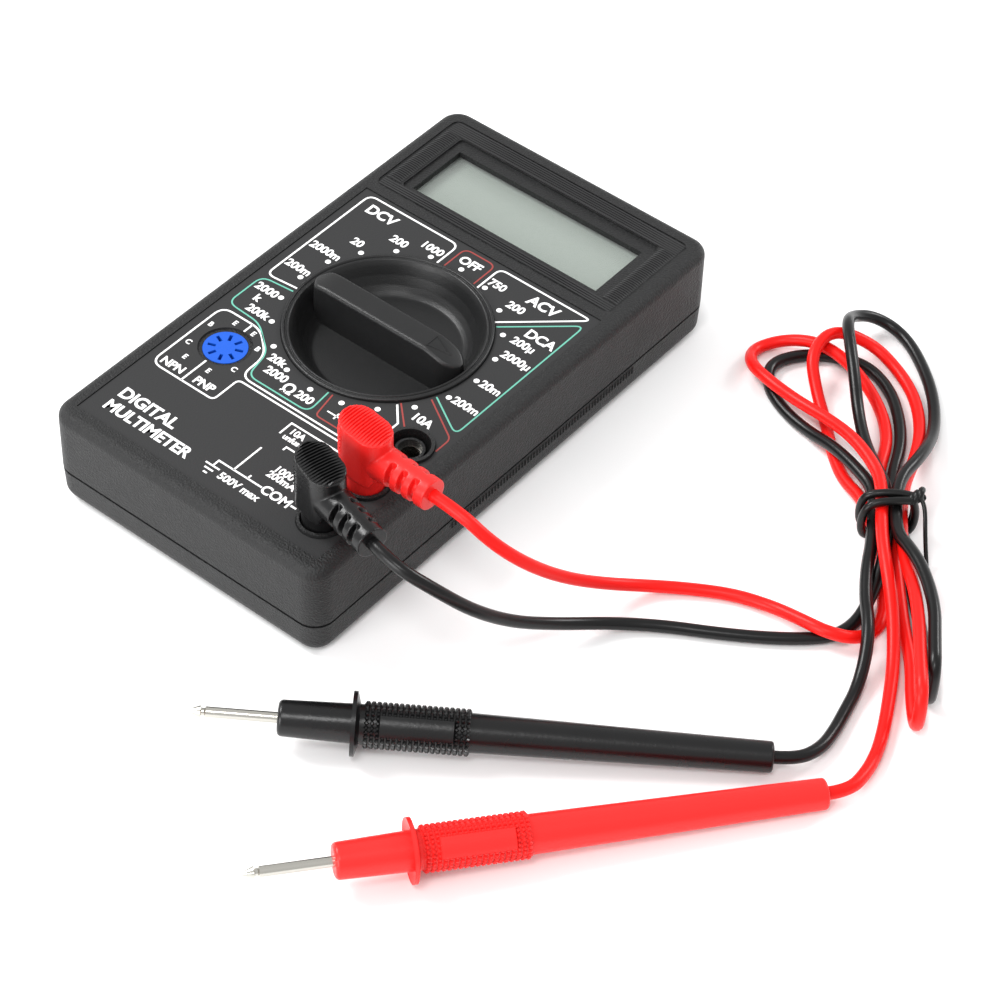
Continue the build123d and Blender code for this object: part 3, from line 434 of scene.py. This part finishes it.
def softened(node_name, name, material, body):
    """A moulded version of a CAD piece: same form with every edge slightly rounded."""
    shape = bmesh.new()
    shape.from_mesh(bpy.data.objects[node_name].data)
    bmesh.ops.remove_doubles(shape, verts=shape.verts, dist=SAME_CAD_POINT)
    mesh = bpy.data.meshes.new(name)
    shape.to_mesh(mesh)
    shape.free()
    draft = placed(name + "_draft", mesh)
    remesh = draft.modifiers.new("even", "REMESH")
    remesh.mode = "VOXEL"
    remesh.voxel_size = SOFT_CELL * MM
    smooth = draft.modifiers.new("soft", "SMOOTH")
    smooth.factor = SOFT_FACTOR
    smooth.iterations = SOFT_ROUNDS
    result = applied(draft)
    bpy.data.objects.remove(draft)
    result.shade_smooth()
    piece = piece_from(name, result, material, body)
    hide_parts(node_name)
    return piece


def joined(name, meshes, material, body):
    """Several plain meshes as one piece."""
    shape = bmesh.new()
    for mesh in meshes:
        shape.from_mesh(mesh)
    whole = bpy.data.meshes.new(name)
    shape.to_mesh(whole)
    shape.free()
    return piece_from(name, whole, material, body)


# ---------------------------------------------------------------- geometry node trees
# corner radius of a four-sided block, as a share of its width
SQUARE = 0.7071


class Tree:
    """A geometry node tree with named inputs, ending in Realize Instances and Set Material."""

    def __init__(self, name, **sizes):
        self.tree = bpy.data.node_groups.new(name, "GeometryNodeTree")
        sockets = self.tree.interface
        self.ids = {}
        for size, kind in sizes.items():
            socket = sockets.new_socket(name=size, in_out="INPUT", socket_type=f"NodeSocket{kind}")
            self.ids[size] = socket.identifier
        sockets.new_socket(name="Geometry", in_out="OUTPUT", socket_type="NodeSocketGeometry")
        self.entry = self.tree.nodes.new("NodeGroupInput")
        self.exit = self.tree.nodes.new("NodeGroupOutput")

    def feed(self, socket, value):
        """Joins a socket to (node, output) or to a named input, or sets it to a value."""
        if isinstance(value, tuple) and isinstance(value[0], bpy.types.Node):
            self.tree.links.new(value[0].outputs[value[1]], socket)
        elif isinstance(value, str):
            self.tree.links.new(self.entry.outputs[value], socket)
        else:
            socket.default_value = value

    def add(self, kind, settings=None, **inputs):
        """A node with these settings, and its inputs fed by name."""
        made = self.tree.nodes.new(kind)
        for key, value in (settings or {}).items():
            setattr(made, key, value)
        for key, value in inputs.items():
            self.feed(made.inputs[key.replace("_", " ")], value)
        return made

    def math(self, operation, *values):
        made = self.add("ShaderNodeMath", {"operation": operation})
        for socket, value in zip(made.inputs, values):
            self.feed(socket, value)
        return made, 0

    def block(self, width, foot, crest):
        """A four-sided block, square to the axes; foot and crest are shares of its width."""
        cone = self.add("GeometryNodeMeshCone", Vertices=4, Radius_Top=self.math("MULTIPLY", width, crest),
                        Radius_Bottom=self.math("MULTIPLY", width, foot), Depth="Height")
        return self.add("GeometryNodeTransform", Geometry=(cone, "Mesh"), Rotation=(0.0, 0.0, pi / 4))

    def close(self, source, output):
        real = self.add("GeometryNodeRealizeInstances", Geometry=(source, output))
        coat = self.add("GeometryNodeSetMaterial", Geometry=(real, "Geometry"), Material="Finish")
        self.tree.links.new(coat.outputs["Geometry"], self.exit.inputs["Geometry"])

    def grow(self, name, place=Matrix.Identity(4), **values):
        """Runs the tree with these input values and returns the placed plain mesh."""
        seed = placed(name + "_seed", bpy.data.meshes.new(name + "_seed"))
        modifier = seed.modifiers.new("grow", "NODES")
        modifier.node_group = self.tree
        for size, value in values.items():
            modifier[self.ids[size]] = value
        mesh = applied(seed)
        bpy.data.objects.remove(seed)
        mesh.transform(place)
        return mesh


def row_tree():
    """A straight row of slim ridges: each a four-sided bar with a narrower crest."""
    tree = Tree("ridge_row", Count="Int", Pitch="Float", Length="Float", Foot="Float", Height="Float",
                Finish="Material")
    step = tree.add("ShaderNodeCombineXYZ", Y="Pitch")
    line = tree.add("GeometryNodeMeshLine", Count="Count", Offset=(step, "Vector"))
    bar = tree.block("Foot", SQUARE, 0.35)
    stretch = tree.math("DIVIDE", "Length", "Foot")
    size = tree.add("ShaderNodeCombineXYZ", X=stretch, Y=1.0, Z=1.0)
    long_bar = tree.add("GeometryNodeTransform", Geometry=(bar, "Geometry"), Scale=(size, "Vector"))
    copies = tree.add("GeometryNodeInstanceOnPoints", Points=(line, "Mesh"), Instance=(long_bar, "Geometry"))
    tree.close(copies, "Instances")
    return tree


def pad_tree():
    """Cross ridges on a stadium shaped pad, each as long as the pad is wide there."""
    tree = Tree("pad_ridges", Count="Int", Pitch="Float", Straight="Float", Radius="Float", Foot="Float",
                Height="Float", Finish="Material")
    step = tree.add("ShaderNodeCombineXYZ", X="Pitch")
    line = tree.add("GeometryNodeMeshLine", Count="Count", Offset=(step, "Vector"))
    gaps = tree.math("SUBTRACT", "Count", 1.0)
    spread = tree.math("MULTIPLY", gaps, tree.math("MULTIPLY", "Pitch", -0.5))
    shift = tree.add("ShaderNodeCombineXYZ", X=spread)
    centred = tree.add("GeometryNodeTransform", Geometry=(line, "Mesh"), Translation=(shift, "Vector"))
    place = tree.add("GeometryNodeInputPosition")
    parts = tree.add("ShaderNodeSeparateXYZ", Vector=(place, "Position"))
    out = tree.math("ABSOLUTE", (parts, "X"))
    past = tree.math("MAXIMUM", tree.math("SUBTRACT", out, "Straight"), 0.0)
    outer, inner = tree.math("MULTIPLY", "Radius", "Radius"), tree.math("MULTIPLY", past, past)
    square = tree.math("SUBTRACT", outer, inner)
    half = tree.math("SQRT", tree.math("MAXIMUM", square, 1e-9))
    reach = tree.math("DIVIDE", tree.math("MULTIPLY", half, 2.0), "Foot")
    bar = tree.block("Foot", SQUARE, 0.3)
    size = tree.add("ShaderNodeCombineXYZ", X=1.0, Y=reach, Z=1.0)
    copies = tree.add("GeometryNodeInstanceOnPoints", Points=(centred, "Geometry"),
                      Instance=(bar, "Geometry"), Scale=(size, "Vector"))
    tree.close(copies, "Instances")
    return tree


def bead_tree():
    """Small blunt studs in rings round a grip."""
    tree = Tree("grip_beads", Around="Int", Rings="Int", Radius="Float", Length="Float", Stud="Float",
                Height="Float", Finish="Material")
    sleeve = tree.add("GeometryNodeMeshCylinder", {"fill_type": "NONE"}, Vertices="Around",
                      Side_Segments="Rings", Radius="Radius", Depth="Length")
    place = tree.add("GeometryNodeInputPosition")
    flat = tree.add("ShaderNodeVectorMath", {"operation": "MULTIPLY"})
    tree.feed(flat.inputs[0], (place, "Position"))
    tree.feed(flat.inputs[1], (1.0, 1.0, 0.0))
    aim = tree.add("FunctionNodeAlignRotationToVector", {"axis": "Z"}, Vector=(flat, "Vector"))
    stud = tree.block("Stud", 0.65, 0.3)
    copies = tree.add("GeometryNodeInstanceOnPoints", Points=(sleeve, "Mesh"), Instance=(stud, "Geometry"),
                      Rotation=(aim, "Rotation"))
    tree.close(copies, "Instances")
    return tree


def dot_tree():
    """Printed dots on a circle, one for each detent of the range switch."""
    tree = Tree("dial_dots", Count="Int", Ring="Float", Dot="Float", Ink="Float", Finish="Material")
    ring = tree.add("GeometryNodeMeshCircle", Vertices="Count", Radius="Ring")
    dot = tree.add("GeometryNodeMeshCylinder", Vertices=20, Radius="Dot", Depth="Ink")
    copies = tree.add("GeometryNodeInstanceOnPoints", Points=(ring, "Mesh"), Instance=(dot, "Mesh"))
    tree.close(copies, "Instances")
    return tree


ROW, PAD, BEADS, DOTS = row_tree(), pad_tree(), bead_tree(), dot_tree()

# ---------------------------------------------------------------- case trim
# left, right, near and far side of each field
RIB_FIELD = (-31.2, 31.2, 31.5, 58.4)
BEZEL = (-26.7, 26.7, 34.55, 54.45)
RIB_PITCH, RIB_FOOT, RIB_HEIGHT, RIB_SINK, RIB_SHORT = 0.62, 0.44, 0.3, 0.19, 0.8
RIDGES, RIDGE_PITCH, RIDGE_L, RIDGE_FOOT, RIDGE_HEIGHT = 62, 0.95, 2.6, 0.55, 0.5
RIDGE_Y, RIDGE_Z, RIDGE_SINK = -22.0, 6.5, 0.32


def display_ribs():
    """Fine ridges along X in the field round the display, broken by the bezel."""
    left, right, low, high = RIB_FIELD
    bands = [((left + right) / 2, low, BEZEL[2], right - left),
             ((left + right) / 2, BEZEL[3], high, right - left),
             ((left + BEZEL[0]) / 2, BEZEL[2], BEZEL[3], BEZEL[0] - left),
             ((right + BEZEL[1]) / 2, BEZEL[2], BEZEL[3], right - BEZEL[1])]
    meshes = []
    for x, near, far, length in bands:
        count = int((far - near) / RIB_PITCH)
        start = near + (far - near - (count - 1) * RIB_PITCH) / 2
        meshes.append(ROW.grow("ribs", at(x, start, CASE_TOP - RIB_SINK), Count=count, Pitch=RIB_PITCH * MM,
                               Length=(length - RIB_SHORT) * MM, Foot=RIB_FOOT * MM,
                               Height=RIB_HEIGHT * MM, Finish=RIB_BLACK))
    joined("display_field_ribs", meshes, RIB_BLACK, "meter")


def side_ridges():
    """Upright grip ridges in the lower flank on both sides, just under the parting line."""
    meshes = []
    for side in (-1, 1):
        place = at(side * (CASE_W / 2 - RIDGE_SINK), RIDGE_Y, RIDGE_Z) @ spun(side * 90, "Y")
        meshes.append(ROW.grow("ridges", place, Count=RIDGES, Pitch=RIDGE_PITCH * MM, Length=RIDGE_L * MM,
                               Foot=RIDGE_FOOT * MM, Height=RIDGE_HEIGHT * MM, Finish=CASE_BLACK))
    joined("flank_ridges", meshes, CASE_BLACK, "meter")


display_ribs()
side_ridges()

# ---------------------------------------------------------------- label print
INK = 0.03
CORNER_STEPS = 6
# a mitred corner is never drawn longer than this share allows
MITRE_LIMIT = 0.5
DETENTS, DOT_RING_R, DOT_R, DOT_RING_Y = 20, 23.35, 0.62, KNOB_Y - 0.2


def strip(shape, points, width):
    """A flat printed line through (x, y) points, mitred at its corners."""
    flat = [Vector(p) for p in points]
    low, high = LABEL_TOP, LABEL_TOP + INK
    rings = []
    for i, point in enumerate(flat):
        before = flat[max(i - 1, 0)]
        after = flat[min(i + 1, len(flat) - 1)]
        run_in = (point - before).normalized() if i > 0 else (after - point).normalized()
        run_out = (after - point).normalized() if i < len(flat) - 1 else run_in
        bisector = (run_in + run_out).normalized()
        across = Vector((-bisector.y, bisector.x))
        reach = width / 2 / max(MITRE_LIMIT, bisector.dot(run_in))
        a, b = point + across * reach, point - across * reach
        rings.append([mm(a.x, a.y, low), mm(b.x, b.y, low), mm(b.x, b.y, high), mm(a.x, a.y, high)])
    loft(shape, rings)


def lines_piece(name, lines):
    def build(shape):
        for points, radius, width in lines:
            strip(shape, rounded(points, radius, CORNER_STEPS) if radius else points, width)
    return mesh_from(name, build, smooth=False)


# printed lines: points, corner radius, width
WHITE_LINES = [
    ([(-5.1, 19.9), (-5.1, 27.5), (-29.3, 27.5), (-29.3, -5.0), (-21.5, -4.2)], 2.0, 0.42),
    ([(6.0, 20.0), (6.0, 27.5), (29.9, 27.5), (15.3, 14.4)], 1.8, 0.42),
    ([(-21.1, -39.2), (-29.2, -39.2), (-29.2, -18.1), (-19.0, -18.1), (-13.2, -23.2), (-12.9, -30.7),
      (19.0, -30.7)], 2.6, 0.42),
    ([(-21.1, -39.2), (-12.5, -39.2), (-12.5, -31.8), (18.4, -31.8)], 1.2, 0.42),
    ([(-21.1, -18.1), (-21.1, -20.8)], 0, 0.42), ([(-21.1, -31.9), (-21.1, -39.2)], 0, 0.42),
    ([(15.8, -16.6), (19.3, -20.5), (19.3, -22.4)], 0, 0.42),
    ([(3.6, -37.6), (3.6, -34.0), (19.6, -34.0)], 0, 0.4), ([(3.6, -42.8), (3.6, -50.8)], 0, 0.4),
    ([(7.2, -40.6), (7.2, -39.6), (19.6, -39.6)], 0, 0.4), ([(7.2, -49.7), (7.2, -50.8)], 0, 0.4),
    ([(-0.2, -52.5), (-0.2, -50.8), (10.9, -50.8)], 0, 0.4), ([(18.3, -50.8), (19.7, -50.8)], 0, 0.45),
    ([(-2.0, -52.6), (1.6, -52.6)], 0, 0.4), ([(-1.3, -53.7), (0.9, -53.7)], 0, 0.4),
    ([(-0.7, -54.8), (0.3, -54.8)], 0, 0.4),
    ([(6.6, -26.9), (9.6, -26.9)], 0, 0.35), ([(8.9, -26.0), (8.9, -27.8)], 0, 0.35),
]
GREEN_LINES = [
    ([(-21.6, -5.4), (-29.4, -6.2), (-29.4, -16.4), (-20.5, -16.9), (-13.4, -22.4), (-12.0, -29.6),
      (3.9, -29.6), (3.3, -22.8)], 2.2, 0.34),
    ([(16.4, 13.5), (29.8, 25.4), (29.8, -15.6), (20.3, -9.9)], 2.2, 0.34),
]
RED_LINES = [
    ([(-3.4, 20.2), (-3.4, 27.6), (4.7, 27.6), (4.7, 20.2)], 1.8, 0.34),
    ([(4.4, -22.8), (5.6, -29.3), (19.0, -29.3)], 1.0, 0.34),
    ([(16.1, -15.8), (21.1, -20.6)], 0, 0.34), ([(20.0, -11.1), (29.9, -17.2), (29.9, -21.6)], 1.2, 0.34),
]
# words, centre x, centre y, height of the capitals
WORDS = [
    ("DCV", -23.3, 24.1, 2.5), ("1000", -8.6, 23.1, 1.9), ("200", -15.2, 20.3, 1.9),
    ("20", -21.5, 14.4, 1.9), ("2000m", -24.8, 8.2, 1.9), ("200m", -25.6, 0.7, 1.9),
    ("2000", -25.9, -8.6, 1.9), ("k", -25.8, -11.6, 1.9), ("200k", -22.9, -14.7, 1.9),
    ("20k", -10.4, -22.7, 1.9), ("2000", -7.9, -25.8, 1.9), ("\u03a9", -3.3, -27.4, 2.5),
    ("200", 0.7, -27.1, 1.9), ("10A", 22.4, -16.9, 2.0), ("200m", 26.3, -8.2, 1.9),
    ("20m", 26.8, -1.1, 1.9), ("2000\u00b5", 25.7, 8.3, 1.9), ("200\u00b5", 23.9, 12.8, 1.9),
    ("DCA", 25.6, 16.2, 2.3), ("ACV", 19.8, 24.3, 2.5), ("200", 15.8, 20.4, 1.9),
    ("750", 8.7, 23.2, 1.9), ("OFF", 0.4, 24.6, 2.1), ("NPN", -25.2, -37.2, 1.9),
    ("PNP", -16.8, -37.2, 1.9), ("E", -24.1, -20.1, 1.2), ("E", -19.2, -20.1, 1.2),
    ("B", -27.6, -23.5, 1.2), ("B", -15.6, -22.8, 1.2), ("C", -27.5, -30.2, 1.2),
    ("C", -15.2, -30.2, 1.2), ("E", -25.1, -33.8, 1.2), ("E", -18.8, -33.8, 1.2),
    ("COM", 14.6, -50.9, 2.1), ("500V max", 7.4, -53.6, 1.7), ("10A", 6.6, -35.7, 1.5),
    ("unfused", 7.6, -37.6, 1.3), ("1000V", 12.4, -45.2, 1.6), ("200mA", 12.6, -47.1, 1.6),
]
# titles start at their x
TITLES = [("DIGITAL", -27.8, -49.2, 2.7), ("MULTIMETER", -27.8, -53.5, 2.6)]
WIDTH_SCALE, LETTER_SPACE = 0.98, 0.98
# height of a capital as a share of the size of the type, and how much its strokes are thickened
CAPITAL, STROKE = 0.66, 0.045
LETTER_STEPS = 4


def word_mesh(text, x, y, cap, align="CENTER"):
    """Raised print of one word; capitals are cap millimetres tall."""
    curve = bpy.data.curves.new("word", "FONT")
    curve.body = text
    curve.align_x = align
    curve.align_y = "CENTER"
    curve.size = cap / CAPITAL * MM
    curve.offset = cap * STROKE * MM
    curve.extrude = INK / 2 * MM
    curve.space_character = LETTER_SPACE
    curve.resolution_u = LETTER_STEPS
    mesh = plain_mesh("word", curve)
    mesh.transform(at(x, y, LABEL_TOP + INK / 2) @ Matrix.Diagonal((WIDTH_SCALE, 1, 1, 1)))
    return mesh


def label_print():
    words = [word_mesh(*w) for w in WORDS] + [word_mesh(*w, align="LEFT") for w in TITLES]
    dots = DOTS.grow("dots", at(0, DOT_RING_Y, LABEL_TOP + INK / 2), Count=DETENTS, Ring=DOT_RING_R * MM,
                     Dot=DOT_R * MM, Ink=INK * MM, Finish=PRINT_WHITE)
    white = lines_piece("white_lines", WHITE_LINES)
    joined("white_print", words + [dots, white], PRINT_WHITE, "meter")
    mint, red = lines_piece("mint_print", GREEN_LINES), lines_piece("red_print", RED_LINES)
    piece_from("mint_print", mint, PRINT_GREEN, "meter")
    piece_from("red_print", red, PRINT_RED, "meter")


label_print()


# ---------------------------------------------------------------- range knob
# radius and height: over the rim, the groove inside it, down the curved wall and across the flat floor
DISH_PROFILE = [
    (0.0, 15.9), (23.4, 15.9), (23.5, 21.0), (21.6, 21.05), (21.6, 23.7), (21.35, 23.95), (20.95, 23.95),
    (20.75, 23.55), (20.55, 23.55), (20.35, 23.9), (20.0, 23.8), (19.4, 22.9), (18.4, 21.0), (17.2, 19.3),
    (16.2, 18.3), (15.4, 17.75), (14.9, 17.7), (0.0, 17.7),
]
DISH_CORNER, DISH_CORNER_STEPS, DISH_FACETS = 0.25, 3, 128
# the bar, from the knob's axis to its back end and to its tip
BAR_BACK, BAR_TIP, BAR_STATIONS = 18.7, 19.3, 44
BAR_HALF_W, BAR_FOOT, BAR_TOP, BAR_DRAFT = 2.95, 17.2, 26.9, 0.55
# runs over which the back end and the tip narrow
BACK_ROUND, TIP_ROUND = 2.4, 4.6
BACK_RUN, BACK_FALL = 5, 0.9
NOSE_RUN, NOSE_FALL, NOSE_CURVE = 7.5, 2.1, 1.3
CREST_R, CREST_STEPS = 0.9, 6
POINTER = [(11.6, -1.75), (11.6, 1.75), (16.4, 0.0)]
POINTER_HALF_W, POINTER_SINK, POINTER_RISE, POINTER_STEPS = 0.13, 0.3, 0.1, 8


def knob_dish(shape):
    """Rim ring, a groove inside it, the curved wall and the flat floor, closed underneath."""
    profile = rounded(DISH_PROFILE, DISH_CORNER, DISH_CORNER_STEPS)
    lathe(shape, profile, DISH_FACETS, centre=(0.0, KNOB_Y))


def bar_top(x):
    """Height of the crest: a little lower at the back end, and falling over the nose to the tip."""
    tip = BAR_TIP - x
    top = BAR_TOP - BACK_FALL * max(0.0, 1 - (x + BAR_BACK) / BACK_RUN) ** 2
    if tip < NOSE_RUN:
        top -= NOSE_FALL * ((NOSE_RUN - tip) / NOSE_RUN) ** NOSE_CURVE
    return top


def knob_bar(shape):
    """Grip bar: rounded crest, drafted flanks, round ends and a nose that falls to the pointer tip."""
    rings = []
    for i in range(BAR_STATIONS + 1):
        x = -BAR_BACK + (BAR_TIP + BAR_BACK) * (0.5 - 0.5 * cos(pi * i / BAR_STATIONS))
        end = min((x + BAR_BACK) / BACK_ROUND, (BAR_TIP - x) / TIP_ROUND, 1.0)
        half = BAR_HALF_W * max(0.06, 1 - (1 - end) ** 2.4) ** 0.62
        rings.append(bar_section(x, half, bar_top(x)))
    loft(shape, rings)


def bar_section(x, half, top):
    """One upright section across the bar, from its foot over the crest."""
    crest = min(CREST_R, half * 0.5)
    points = [(-half - BAR_DRAFT, BAR_FOOT), (-half, top - crest)]
    for k in range(1, CREST_STEPS):
        angle = pi / 2 * k / CREST_STEPS
        points.append((-half + crest * (1 - cos(angle)), top - crest * (1 - sin(angle))))
    points.append((-half + crest, top))
    mirrored = [(-y, z) for y, z in points[::-1]]
    return [mm(x, KNOB_Y + y, z) for y, z in points + mirrored]


def pointer_mark(shape):
    """Slim raised rim of a triangle on the nose."""
    for (ax, ay), (bx, by) in zip(POINTER, POINTER[1:] + POINTER[:1]):
        rings = []
        for step in range(POINTER_STEPS + 1):
            share = step / POINTER_STEPS
            x, y = ax + (bx - ax) * share, KNOB_Y + ay + (by - ay) * share
            low, high = bar_top(x) - POINTER_SINK, bar_top(x) + POINTER_RISE
            section = ((-POINTER_HALF_W, low), (POINTER_HALF_W, low), (POINTER_HALF_W, high),
                       (-POINTER_HALF_W, high))
            rings.append([mm(x + side, y + side, z) for side, z in section])
        loft(shape, rings)


def knob():
    def build(shape):
        knob_dish(shape)
        knob_bar(shape)
        pointer_mark(shape)
    piece = piece_from("dished_knob", mesh_from("dished_knob", build), KNOB_BLACK, "knob")
    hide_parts("range_knob")


knob()


# ---------------------------------------------------------------- plugs
PAD_Z, PAD_TILT, PAD_STRAIGHT, PAD_R = 38.62, 8.0, 1.75, 3.8
PAD_RIBS, PAD_PITCH, PAD_RIB_W, PAD_RIB_H = 17, 0.65, 0.46, 0.46
BACK_RIBS, BACK_RIB_Z, BACK_RIB_PITCH = 7, 36.9, 0.95
# first angle, sweep in degrees and steps of a back rib, and its (radius, height) section
BACK_RIB_FROM, BACK_RIB_SWEEP, BACK_RIB_STEPS = 115, 130, 12
BACK_RIB_SECTION = ((3.7, -0.24), (4.12, -0.12), (4.12, 0.12), (3.7, 0.24))


def plug(colour):
    """Softened moulding of a test plug, with the ribs on its thumb pad and round its back."""
    body, slot, material = f"{colour}_plug", f"lead_{colour}", LEAD_FINISH[colour]
    softened(f"{colour}_plug_body", f"{colour}_plug_moulding", material, body)
    place = plug_place(colour) @ (at(0, 0, PAD_Z) @ spun(PAD_TILT, "Y"))
    ribs = [PAD.grow("pad", place, Count=PAD_RIBS, Pitch=PAD_PITCH * MM, Straight=PAD_STRAIGHT * MM,
                     Radius=PAD_R * MM, Foot=PAD_RIB_W * MM, Height=PAD_RIB_H * MM, Finish=material)]
    ribs += [back_rib(colour, BACK_RIB_Z - i * BACK_RIB_PITCH) for i in range(BACK_RIBS)]
    joined(f"{colour}_plug_ribs", ribs, material, body)


def back_rib(colour, z):
    """One of the level ridges round the back of the thumb body."""
    def build(shape):
        rings = []
        for i in range(BACK_RIB_STEPS + 1):
            angle = radians(BACK_RIB_FROM + BACK_RIB_SWEEP * i / BACK_RIB_STEPS)
            rings.append([mm(-PAD_STRAIGHT + r * cos(angle), r * sin(angle), z + dz)
                          for r, dz in BACK_RIB_SECTION])
        loft(shape, rings)
    mesh = mesh_from("back_rib", build)
    mesh.transform(plug_place(colour))
    return mesh


for colour in ("red", "black"):
    plug(colour)


# ---------------------------------------------------------------- probes
GRIP_AT, GRIP_L, GRIP_R = 56.5, 20.0, 4.0
STUDS_ROUND, STUD_RINGS, STUD_W, STUD_H, STUD_RISE, STUD_MARGIN = 30, 18, 0.8, 0.36, 0.08, 0.6
# place along the probe and rise of the plate's edges, its height over and depth under the grip
PLATE_ROWS = ((59.4, 0.0), (59.7, 0.42), (73.4, 0.42), (73.7, 0.0))
PLATE_OVER, PLATE_UNDER = 0.22, 0.5
# turn of the plate about the probe, and its width as steps of an angle, in degrees
PLATE_TURN, PLATE_STEP, PLATE_STEPS_EACH_SIDE = -42, 6.4, 4
# (radius, place) along the probe, a hair outside the pin
PIN_PROFILE = [
    (0.2, 92.3), (1.065, 92.3), (1.065, 105.9), (0.75, 106.2), (0.75, 106.7), (1.225, 106.9),
    (0.13, 109.51), (0.01, 109.52),
]
PIN_FACETS = 40


def probe_pieces(colour):
    """Dresses a probe's handle and pin, adds grip studs, plate and plating, and returns the two nodes."""
    place, material = probe_place(colour), LEAD_FINISH[colour]
    stand = place @ at(GRIP_AT + GRIP_L / 2, 0, 0) @ spun(90, "Y")
    studs = BEADS.grow("beads", stand, Around=STUDS_ROUND, Rings=STUD_RINGS,
                       Radius=(GRIP_R + STUD_RISE) * MM, Length=(GRIP_L - 2 * STUD_MARGIN) * MM,
                       Stud=STUD_W * MM, Height=STUD_H * MM, Finish=material)
    joined(f"{colour}_grip_studs", [studs, grip_plate(place)], material, "meter")
    plating = mesh_from("pin_plating", lambda shape: lathe(shape, PIN_PROFILE, PIN_FACETS, "X"))
    plating.transform(place)
    piece_from(f"{colour}_pin_plating", plating, NICKEL, "meter")
    return [dress(bpy.data.objects[f"{colour}_probe_handle"], material),
            dress(bpy.data.objects[f"{colour}_probe_tip"], NICKEL)]


def plate_arc(x, radius):
    """A row of points across the plate, at one place along the probe."""
    steps = range(-PLATE_STEPS_EACH_SIDE, PLATE_STEPS_EACH_SIDE + 1)
    angles = [radians(90 + k * PLATE_STEP) for k in steps]
    return [mm(x, -radius * cos(angle), radius * sin(angle)) for angle in angles]


def grip_plate(place):
    """Smooth nameplate island, left blank, standing between the studs on the upper side."""
    def build(shape):
        loft(shape, [plate_arc(x, GRIP_R + PLATE_OVER + rise) + plate_arc(x, GRIP_R - PLATE_UNDER)[::-1]
                     for x, rise in PLATE_ROWS])
    mesh = mesh_from("grip_plate", build)
    mesh.transform(place @ spun(PLATE_TURN, "X"))
    return mesh


PROBE_PIECES = {colour: probe_pieces(colour) for colour in ("red", "black")}


# ---------------------------------------------------------------- tie
TIE_AT, TIE_HEADING = (98.4, 36.9), -48.7
TURN_R, TWIST_R, TAIL_R = 0.85, 0.75, 0.45
# place of each turn along the bundle
TURNS_AT = (-1.4, 0.9)
# the knot: radius of the twist, its turn in radians a point, and the drift of its axis a point
TWIST_OUT, TWIST_STEP, TWIST_POINTS = 0.85, 1.15, 9
TWIST_FROM, TWIST_DRIFT = (0.0, 4.0, 9.9), (-0.12, 0.32, 0.1)
TAIL = [(0.0, 6.0, 10.6), (1.6, 6.8, 10.2), (4.0, 6.8, 7.6), (7.0, 6.8, 4.6), (10.2, 7.0, 1.6)]


def tube_mesh(name, points, radius):
    """A round wire along a smooth line through these millimetre points."""
    return plain_mesh(name, round_line(name, [mm(*p) for p in points], radius, order=4, steps=6, facets=3))


def tie_turn(along, lean):
    """One turn round the bundle, leaning from its under side to its upper side."""
    back, front = along + lean, along - lean
    return tube_mesh("turn", [
        (back, 4.4, 10.2), (along, 2.0, 10.75), (along, -2.6, 10.6), (front, -4.9, 9.4), (front, -5.6, 5.6),
        (front, -5.1, 1.6), (along, -2.6, 0.75), (along, 2.6, 0.75), (back, 5.1, 1.6), (back, 5.6, 5.4),
        (back, 5.2, 8.8), (back, 4.2, 10.5)], TURN_R)


def tie_twist(phase):
    """One of the two wires of the knot."""
    points = []
    for i in range(TWIST_POINTS):
        x, y, z = (start + drift * i for start, drift in zip(TWIST_FROM, TWIST_DRIFT))
        angle = phase + i * TWIST_STEP
        points.append((x + TWIST_OUT * cos(angle), y, z + TWIST_OUT * sin(angle)))
    return tube_mesh("twist", points, TWIST_R)


def tie():
    """Two turns of coated wire, a twisted knot and a thin tail."""
    meshes = [tie_turn(along, 0.5 - k) for k, along in enumerate(TURNS_AT)]
    meshes += [tie_twist(0), tie_twist(pi), tube_mesh("tail", TAIL, TAIL_R)]
    for mesh in meshes:
        mesh.transform(at(*TIE_AT, 0) @ spun(TIE_HEADING, "Z"))
    piece = joined("wire_tie", meshes, TIE_BLACK, "meter")
    piece.data.shade_smooth()
    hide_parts("twist_tie")


tie()

# ---------------------------------------------------------------- finishes of the CAD pieces
NODE_FINISH = {
    "front_case": CASE_BLACK, "rear_case": CASE_BLACK, "label_panel": LABEL_GREY,
    "display_lens": LENS_CLEAR, "lcd_panel": LCD_GREEN, "lcd_frame": KNOB_BLACK,
    "zebra_strip": ZEBRA_PINK, "case_screws": SCREW_ZINC, "board_screws": SCREW_ZINC,
    "detent_balls": NICKEL, "detent_springs": SPRING_STEEL, "wiper_contacts": BRASS,
    "circuit_board": BOARD_GREEN, "jack_10a": NICKEL, "jack_vohm": NICKEL, "jack_com": NICKEL,
    "transistor_socket": SOCKET_BLUE, "socket_contacts": BRASS, "converter_chip": EPOXY_BLACK,
    "resistors": RESISTOR_BLUE, "capacitors": CAPACITOR_BROWN, "trimmer": SOCKET_BLUE,
    "shunt_wire": BRASS, "fuse": FUSE_GLASS, "fuse_clips": NICKEL, "battery": BATTERY_JACKET,
    "battery_snap": EPOXY_BLACK, "battery_wire_red": CORD_RED, "battery_wire_black": CORD_BLACK,
    "red_plug_pin": NICKEL, "black_plug_pin": NICKEL,
}
for node_name, material in NODE_FINISH.items():
    dress(bpy.data.objects[node_name], material)
